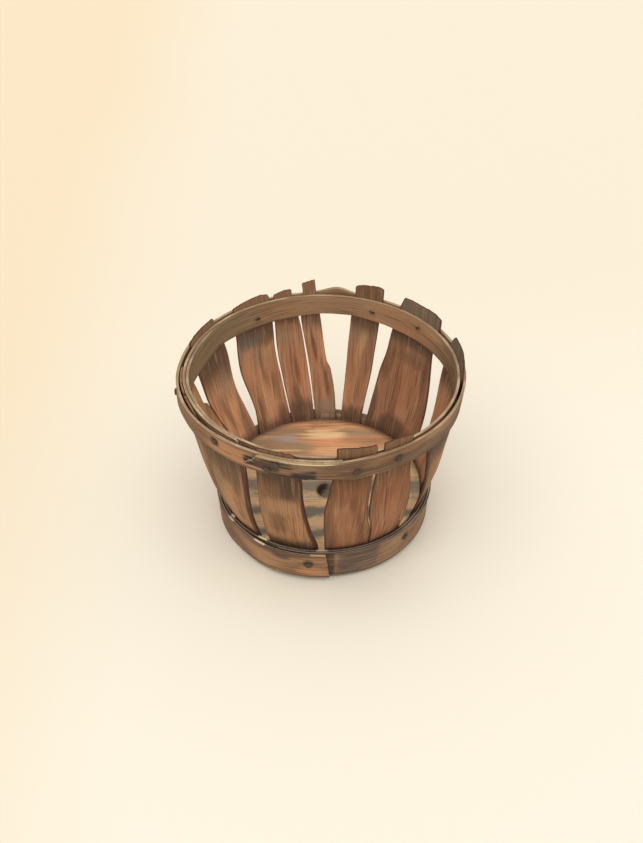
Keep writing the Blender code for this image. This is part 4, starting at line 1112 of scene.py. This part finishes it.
# The board's layers of noise: how fine in x, y and z, shift, detail and roughness
boardNoise = {
    "bend": (14.0, 40.0, 40.0, 4.0, 2.0, 0.55), "broad": (12.0, 120.0, 90.0, 9.0, 3.0, 0.55),
    "streak": (22.0, 460.0, 420.0, 17.0, 4.0, 0.62), "hair": (45.0, 1500.0, 1500.0, 29.0, 2.0, 0.5),
    "patch": (55.0, 90.0, 75.0, 41.0, 4.0, 0.55), "mottle": (420.0, 700.0, 300.0, 53.0, 4.0, 0.7),
}
# Its tones over plain tan: which layer shows it, where it starts and is full, and strength
boardTones = (
    ("orange", "broad", 0.42, 0.60, 0.9), ("greyTan", "broad", 0.46, 0.32, 0.7),
    ("greyTan", "streak", 0.49, 0.63, 0.9), ("paleTan", "streak", 0.46, 0.34, 0.4),
    ("greyTan", "patch", 0.54, 0.70, 0.6),
)
# Patches on the board: tone, then middle, half sizes and strength
boardSpots = (
    ("greyTan", (-0.026, 0.030, 0.026, 0.010, 0.7)),
    ("greenGrey", (-0.034, 0.026, 0.022, 0.014, 0.8)), ("greyTan", (-0.020, 0.047, 0.012, 0.005, 0.9)),
    ("blueGrey", (-0.0195, 0.0395, 0.009, 0.005, 0.8)), ("greyTan", (0.002, 0.020, 0.020, 0.005, 0.5)),
    ("orange", (0.010, 0.036, 0.018, 0.006, 0.9)), ("tan", (0.032, 0.026, 0.020, 0.008, 0.8)),
    ("greenGrey", (0.022, 0.046, 0.014, 0.004, 0.7)), ("greenGrey", (-0.012, 0.031, 0.010, 0.004, 0.7)),
    ("paleTan", (0.008, 0.028, 0.014, 0.005, 0.4)), ("paleTan", (0.002, 0.044, 0.014, 0.005, 1.0)),
    ("brown", (0.020, 0.018, 0.030, 0.004, 0.8)), ("brown", (0.030, 0.038, 0.020, 0.004, 0.7)),
    ("orange", (0.044, 0.020, 0.010, 0.006, 0.9)), ("brown", (-0.022, 0.012, 0.018, 0.020, 0.7)),
    ("brown", (-0.032, 0.033, 0.018, 0.0016, 0.9)), ("paleTan", (-0.026, 0.0285, 0.016, 0.0012, 0.8)),
    ("warmDark", (-0.022, 0.0235, 0.020, 0.0013, 0.7)), ("tan", (-0.034, 0.019, 0.014, 0.0014, 0.9)),
)
# Bands across the board's front: y, half width, tone and strength
frontBands = (
    (0.008, 0.004, "paleTan", 0.9), (-0.003, 0.006, "stone", 0.8), (-0.0186, 0.005, "paleTan", 0.9),
    (-0.0262, 0.0045, "stone", 1.0), (-0.0355, 0.005, "paleTan", 0.9), (-0.0435, 0.004, "stone", 0.9),
    (-0.051, 0.004, "paleTan", 0.9),
)


def boardFinish(name):
    finish = Finish(name)
    x, y, z = finish.place()

    def noiseOf(key, sideways):
        rateX, rateY, rateZ, shift, detail, rough = boardNoise[key]
        return finish.cloud(x * rateX, sideways * rateY, z * rateZ + shift, detail, rough)

    bend = noiseOf("bend", y)
    line = y + (bend - 0.5) * 0.010
    layers = {key: noiseOf(key, line) for key in ("broad", "streak", "hair")}
    layers["patch"] = noiseOf("patch", y)
    streak, patch = layers["streak"], layers["patch"]
    gain = board["gain"]
    color = tone("tan", gain)
    for toneName, key, start, full, strength in boardTones:
        mask = finish.step(layers[key], start, full, strength)
        color = finish.mix(color, tone(toneName, gain), mask)
    for toneName, spec in boardSpots:
        mask = finish.spot(x, y, spec, patch * 0.3 + streak * 0.7)
        color = finish.mix(color, tone(toneName, gain), mask * (wood["patchLeast"] + streak))
    # towards the front the board is banded and blotched with pale tan and grey green
    front = finish.step(y + (patch - 0.5) * 0.01, board["frontFrom"], board["frontFull"])
    mottle = noiseOf("mottle", y)
    gain = board["frontGain"]
    color = finish.mix(color, tone("greenPale", gain), front * board["frontShow"])
    color = finish.mix(color, tone("paleTan", gain), front * finish.step(mottle, 0.50, 0.38, 0.5))
    color = finish.mix(color, tone("stoneDark", gain), front * finish.step(mottle, 0.50, 0.66, 0.45))
    for middle, half, toneName, strength in frontBands:
        offBand = y + x * board["bandFall"] - middle
        offBand = abs(offBand + (patch - 0.5) * 0.012 + (mottle - 0.5) * 0.006)
        mask = front * finish.step(offBand, 1.3 * half, 0.4 * half, strength)
        color = finish.mix(color, tone(toneName, gain), mask)
    color = finish.mix(color, tone("dark", gain), finish.step(layers["hair"], 0.54, 0.70, 0.5))
    # painted shade lies along the wall at the back, where the staves shade the board, and the board is
    # darker round the knot hole
    out = finish.distance(x - wall["axisX"], y - wall["axisY"])
    backShade = finish.step(out + (streak - 0.5) * 0.003, board["backShadeFrom"], board["backShadeFull"], 0.8)
    color = finish.mix(color, tone("umber", gain), backShade * finish.step(y, -0.01, 0.02))
    ring = board["knotLong"]
    knot = finish.distance((x - board["knotX"]) * (ring / board["knotWide"]), y - board["knotY"])
    near = finish.step(knot + (patch - 0.5) * 0.004, 1.5 * ring, 1.02 * ring, 0.7)
    color = finish.mix(color, tone("dark", gain), near)
    # the hole is painted near black as its shade, with painted light in grey green on its lit lower wall
    inHole = finish.step(knot, 1.08 * ring, 0.97 * ring)
    slant = x - y * 0.6 + (streak - 0.5) * 0.006
    lit = finish.step(slant, board["knotLit"], board["knotLit"] + board["knotLitEase"], 0.7)
    color = finish.mix(color, tone("nearBlack"), inHole)
    color = finish.mix(color, tone("greenGrey", 1.1), inHole * lit)
    rough = 0.64 + streak * 0.24
    height = streak * 0.5 + layers["hair"] * 0.5
    return finish.finishBy(color, rough, height, board["relief"], board["bump"], lookCommon["shine"])


def makeBoard():
    top = board["top"]
    bottom = top - board["thickness"]
    edge, rings, steps = board["edge"], board["rings"], board["edgeSteps"]
    sideSteps, underRings = board["sideSteps"], board["underRings"]
    bm = bmesh.new()
    turns = [0.5 * math.pi * k / steps for k in range(steps + 1)]
    curve = [(1.0 - math.sin(turn), math.cos(turn)) for turn in turns]
    # share of the radius, height, and how far inside the full radius the point is
    profile = [(k / rings, top, edge) for k in range(rings + 1)]
    profile += [(1.0, top - edge * (1.0 - rise), edge * inset) for inset, rise in curve[1:]]
    profile += [(1.0, blend(top, bottom, k / sideSteps), 0.0) for k in range(1, sideSteps)]
    profile += [(1.0, bottom + edge * (1.0 - rise), edge * inset) for inset, rise in reversed(curve)]
    profile += [(k / underRings, bottom, edge) for k in range(underRings - 1, -1, -1)]
    mark = bm.verts.layers.int.new("entry")
    verts = [bm.verts.new((share, 0.0, height)) for share, height, inset in profile]
    for index, vert in enumerate(verts):
        vert[mark] = index
    edges = [bm.edges.new(pair) for pair in zip(verts, verts[1:])]
    bmesh.ops.spin(
        bm, geom=verts + edges, cent=(0.0, 0.0, 0.0), axis=(0.0, 0.0, 1.0), angle=2.0 * math.pi,
        steps=board["sides"], use_merge=True
    )
    bmesh.ops.remove_doubles(bm, verts=bm.verts, dist=1e-7)
    inside = -stock["stave"] - stock["gap"]
    for vert in bm.verts:
        share, height, inset = profile[vert[mark]]
        bearing = math.degrees(math.atan2(vert.co.x, -vert.co.y)) if share else 0.0
        rim = wallPoint(bearing, height, inside - inset)
        centre = Vector((wall["axisX"], wall["axisY"], height))
        vert.co = centre.lerp(rim, share)
        if height in (top, bottom):
            lift = wobble(vert.co.x * 30.0, vert.co.y * 160.0, height * 100.0)
            vert.co.z -= board["ripple"] * (1.0 + lift)
    bmesh.ops.recalc_face_normals(bm, faces=bm.faces)
    piece = pieceFrom("board", bm, [boardFinish("board")], board["sharpDegrees"])
    cutKnot(piece)
    standFor(piece, "bottom_board", "board")


def cutKnot(piece):
    # An uneven round hole, left by a knot that fell out
    bm = bmesh.new()
    bmesh.ops.create_cone(
        bm, cap_ends=True, segments=board["knotSides"], radius1=board["knotFoot"],
        radius2=board["knotMouth"], depth=2.0 * board["knotDepth"]
    )
    for vert in bm.verts:
        angle = math.atan2(vert.co.y, vert.co.x)
        waves = board["knotWaves"]
        uneven = wobble(math.cos(angle) * waves, math.sin(angle) * waves, 3.0)
        grow = 1.0 + board["knotUneven"] * uneven - board["knotShrink"]
        vert.co.x = board["knotX"] + vert.co.x * grow * board["knotWide"]
        vert.co.y = board["knotY"] + vert.co.y * grow * board["knotLong"]
        vert.co.z += board["top"]
    cutter = pieceFrom("knotCutter", bm, [])
    cut = piece.modifiers.new("knot hole", "BOOLEAN")
    cut.operation = "DIFFERENCE"
    cut.solver = "EXACT"
    cut.object = cutter
    finishMesh(piece)
    bpy.data.objects.remove(cutter, do_unlink=True)


def finishMesh(piece):
    # Puts what the modifiers make into the mesh itself
    graph = bpy.context.evaluated_depsgraph_get()
    made = bpy.data.meshes.new_from_object(piece.evaluated_get(graph), depsgraph=graph)
    piece.modifiers.clear()
    piece.data = made


makeBoard()
print("bottom made")

# Nails
nail = {
    "shank": 0.0006, "head": 0.00205, "headHeight": 0.0011, "clinch": 0.001, "clinchLength": 0.0018,
    "inBoard": 0.007, "hiddenTip": 0.0005, "neck": 0.0004, "sides": 20, "bendSteps": 7,
    "sharpDegrees": 55.0,
    "dent": 0.00014, "dentFine": 900.0, "edgeFine": 500.0, "uneven": 0.06, "shrink": 0.03,
    # the head's hammered crown, how far it falls, and its side as shares of its radius and height
    "crown": (0.0, 0.25, 0.5, 0.72), "crownFall": 0.16,
    "side": ((0.88, 0.72), (0.97, 0.5), (1.0, 0.3), (0.95, 0.02), (0.8, 0.0)),
    # the point as shares of the shank's radius, and metres from the tip
    "point": ((0.75, 0.0003), (0.45, 0.0), (0.0, 0.0)), "taper": (0.95, 0.0009),
    "iron": (78, 65, 54), "darkIron": (50, 43, 39), "rust": (112, 72, 50), "rubbed": (128, 116, 104),
    "metallic": 0.2, "relief": 0.00012, "bump": 0.6, "shine": 0.5,
}
# Bearing, share of the outer hoop's depth under the rim, and the turn of a clinched tip or None
rimNails = (
    (276.0, 0.68, 200.0), (315.3, 0.37, 150.0), (339.6, 0.58, 215.0), (343.0, 0.24, 170.0),
    (373.0, 0.60, 190.0), (390.1, 0.49, 160.0), (95.0, 0.51, None), (131.2, 0.42, 150.0),
    (155.1, 0.54, 20.0), (210.8, 0.65, 5.0), (241.0, 0.48, None),
)
# Bearing and share of the board's thickness under its top
baseNails = ((352.7, 0.37), (46.9, 0.29), (99.0, 0.52), (150.0, 0.60), (208.0, 0.52), (262.0, 0.64))


def nailFinish(name):
    # Dark iron with a little rust, rubbed bright here and there
    finish = Finish(name)
    x, y, z = finish.place()
    blotch = finish.cloud(x * 600.0, y * 600.0, z * 600.0, 3.0)
    pits = finish.cloud(x * 2400.0, y * 2400.0, z * 2400.0 + 5.0, 3.0)
    iron, darkIron, rust, rubbed = (paint(*nail[key]) for key in ("iron", "darkIron", "rust", "rubbed"))
    color = finish.mix(iron, darkIron, finish.step(blotch, 0.40, 0.62))
    color = finish.mix(color, rust, finish.step(blotch, 0.58, 0.75, 0.7))
    color = finish.mix(color, rubbed, finish.step(pits, 0.45, 0.25, 0.4))
    finish.feed(finish.shader.inputs["Metallic"], nail["metallic"])
    rough = 0.42 + pits * 0.35
    height = pits * 0.6 + blotch * 0.4
    return finish.finishBy(color, rough, height, nail["relief"], nail["bump"], nail["shine"])


def axisFrame(bearing, height, offset, twist=0.0):
    # A frame on the wall whose +Z points out of it
    normal = wallNormal(bearing, height)
    turn = normal.to_track_quat("Z", "Y").to_matrix().to_4x4()
    seat = wallPoint(bearing, height) + normal * offset
    return Matrix.Translation(seat) @ turn @ Matrix.Rotation(math.radians(twist), 4, "Z")


def makeNail(name, seat, length, clinched, look, node, seed):
    # A hammered head over a round shank. A clinched tip is bent over sideways.
    bends = nail["bendSteps"]
    head, rise, shank = nail["head"], nail["headHeight"], nail["shank"]
    profile = [(head * s, rise * (1.0 - nail["crownFall"] * s * s)) for s in nail["crown"]]
    profile += [(out * head, up * rise) for out, up in nail["side"]]
    profile += [(1.1 * shank, 0.0), (shank, -nail["neck"])]
    tip = length
    if clinched:
        arc = 0.5 * math.pi * nail["clinch"]
        profile += [(shank, -length - arc * k / bends) for k in range(bends + 1)]
        tip = length + arc + nail["clinchLength"]
        profile += [(nail["taper"][0] * shank, -tip + nail["taper"][1])]
    profile += [(out * shank, -tip + back) for out, back in nail["point"]]
    bm = bmesh.new()
    verts = [bm.verts.new((radius, 0.0, height)) for radius, height in profile]
    edges = [bm.edges.new(pair) for pair in zip(verts, verts[1:])]
    bmesh.ops.spin(
        bm, geom=verts + edges, cent=(0.0, 0.0, 0.0), axis=(0.0, 0.0, 1.0), angle=2.0 * math.pi,
        steps=nail["sides"], use_merge=True
    )
    bmesh.ops.remove_doubles(bm, verts=bm.verts, dist=1e-6)
    for vert in bm.verts:
        if vert.co.z > 0.2 * rise:
            rate = nail["dentFine"]
            hit = wobble(vert.co.x * rate, vert.co.y * rate, seed)
            vert.co.z -= nail["dent"] * max(0.0, hit + 0.2)
            rate = nail["edgeFine"]
            uneven = wobble(vert.co.x * rate, vert.co.y * rate, seed + 5.0)
            grow = 1.0 + nail["uneven"] * uneven - nail["shrink"]
            vert.co.x *= grow
            vert.co.y *= grow
        past = -vert.co.z - length
        if clinched and past > 0.0:
            angle = min(past / nail["clinch"], 0.5 * math.pi)
            extra = past - nail["clinch"] * angle
            reach = nail["clinch"] - vert.co.x
            vert.co.x = nail["clinch"] - reach * math.cos(angle) + extra
            vert.co.z = -length - reach * math.sin(angle)
    bmesh.ops.transform(bm, matrix=seat, verts=bm.verts)
    bmesh.ops.recalc_face_normals(bm, faces=bm.faces)
    standFor(pieceFrom(name, bm, [look], nail["sharpDegrees"]), node, "nail")


nailIron = nailFinish("nailIron")
hoopLayer = stock["hoop"] + stock["gap"]
bandLayer = stock["band"] + stock["gap"]
for number, (bearing, share, twist) in enumerate(rimNails, 1):
    raised = raisedAt(outerHoop, (bearing - outerHoop["start"]) % 360.0)
    raisedInside = raisedAt(innerHoop, (bearing - innerHoop["start"]) % 360.0)
    outer = hoopLayer + standOff(outerHoop, bearing) + hoopLayer * raised
    through = outer + stock["stave"] + hoopLayer + hoopLayer * raisedInside + stock["gap"]
    height = wall["height"] - share * outerHoop["depth"]
    seat = axisFrame(bearing, height, outer, twist or 0.0)
    clinched = twist is not None
    length = through - stock["gap"] - (0.0 if clinched else nail["hiddenTip"])
    name, node = "rimNail%02d" % number, "rim_nail_%02d" % number
    makeNail(name, seat, length, clinched, nailIron, node, 3.1 * number)
for number, (bearing, share) in enumerate(baseNails, 1):
    raised = raisedAt(outerBand, (outerBand["start"] - bearing) % 360.0)
    outer = 2.0 * bandLayer + bandLayer * raised
    seat = axisFrame(bearing, board["top"] - share * board["thickness"], outer)
    length = outer + stock["stave"] + stock["gap"] + nail["inBoard"]
    name, node = "baseNail%02d" % number, "base_nail_%02d" % number
    makeNail(name, seat, length, False, nailIron, node, 40.0 + number)
print("nails made")

# Floor, light and camera
studio = {
    "paper": (252, 243, 223), "farPaper": (248, 235, 211), "agedPaper": (247, 227, 193),
    "farFull": 0.3, "agedFrom": -0.08, "agedFull": -0.24, "plainFrom": 1.0, "plainAt": 1.6,
    "floorSize": 6.0, "toothFine": 900.0, "washFine": 3.0, "relief": 0.00005, "bump": 0.2, "shine": 0.5,
    "dome": 0.72, "sunPower": 1.10, "sunSpread": 70.0, "sunTurn": -20.0, "sunRise": 70.0,
    "eye": (0.000689, -0.53532, 0.49032), "aim": (0.000689, 0.000766, 0.0639), "lens": 51.70,
    "nearest": 0.01,
}


def makeFloor():
    bm = bmesh.new()
    bmesh.ops.create_grid(bm, x_segments=1, y_segments=1, size=0.5 * studio["floorSize"])
    finish = Finish("paperFloor")
    x, y, z = finish.place()
    paper, farPaper, aged = (paint(*studio[key]) for key in ("paper", "farPaper", "agedPaper"))
    tooth = finish.cloud(x * studio["toothFine"], y * studio["toothFine"], z, 2.0)
    wash = finish.cloud(x * studio["washFine"], y * studio["washFine"], z + 2.0, 2.0)
    left = finish.step(x + (wash - 0.5) * 0.05, studio["agedFrom"], studio["agedFull"])
    color = finish.mix(paper, farPaper, finish.step(y, 0.0, studio["farFull"]))
    color = finish.mix(color, aged, left)
    # far off, the floor has the background's colour
    plain = finish.step(finish.distance(x, y), studio["plainFrom"], studio["plainAt"])
    color = finish.mix(color, paper, plain)
    rough = 0.9 + tooth * 0.05
    look = finish.finishBy(color, rough, tooth, studio["relief"], studio["bump"], studio["shine"])
    pieceFrom("floor", bm, [look])


def aimAt(item, target):
    away = Vector(target) - item.location
    item.rotation_euler = away.to_track_quat("-Z", "Y").to_euler()


def makeStudio():
    world = bpy.data.worlds.new("studio")
    bpy.context.scene.world = world
    world.use_nodes = True
    nodes, links = world.node_tree.nodes, world.node_tree.links
    light = nodes["Background"]
    light.inputs["Color"].default_value = (1.0, 1.0, 1.0, 1.0)
    light.inputs["Strength"].default_value = studio["dome"]
    seen = nodes.new("ShaderNodeBackground")
    seen.inputs["Color"].default_value = paint(*studio["paper"])
    rays = nodes.new("ShaderNodeLightPath")
    pick = nodes.new("ShaderNodeMixShader")
    # the paper's colour shows to the camera and in what is shiny or clear
    shown = rays.outputs["Is Camera Ray"]
    for kind in ("Is Glossy Ray", "Is Transmission Ray"):
        either = nodes.new("ShaderNodeMath")
        either.operation = "MAXIMUM"
        links.new(shown, either.inputs[0])
        links.new(rays.outputs[kind], either.inputs[1])
        shown = either.outputs[0]
    links.new(shown, pick.inputs[0])
    links.new(light.outputs[0], pick.inputs[1])
    links.new(seen.outputs[0], pick.inputs[2])
    links.new(pick.outputs[0], nodes["World Output"].inputs["Surface"])

    lamp = bpy.data.lights.new("windowLight", "SUN")
    lamp.energy = studio["sunPower"]
    lamp.angle = math.radians(studio["sunSpread"])
    sun = bpy.data.objects.new("windowLight", lamp)
    bpy.context.scene.collection.objects.link(sun)
    turn, rise = math.radians(studio["sunTurn"]), math.radians(studio["sunRise"])
    sun.location = (math.sin(turn) * math.cos(rise), -math.cos(turn) * math.cos(rise), math.sin(rise))
    aimAt(sun, (0.0, 0.0, 0.0))

    camera = bpy.data.cameras.new("camera")
    camera.lens = studio["lens"]
    camera.clip_start = studio["nearest"]
    eye = bpy.data.objects.new("camera", camera)
    bpy.context.scene.collection.objects.link(eye)
    eye.location = studio["eye"]
    aimAt(eye, studio["aim"])
    bpy.context.scene.camera = eye
    bpy.context.scene.view_settings.view_transform = "Standard"


makeFloor()
makeStudio()
print("studio made")
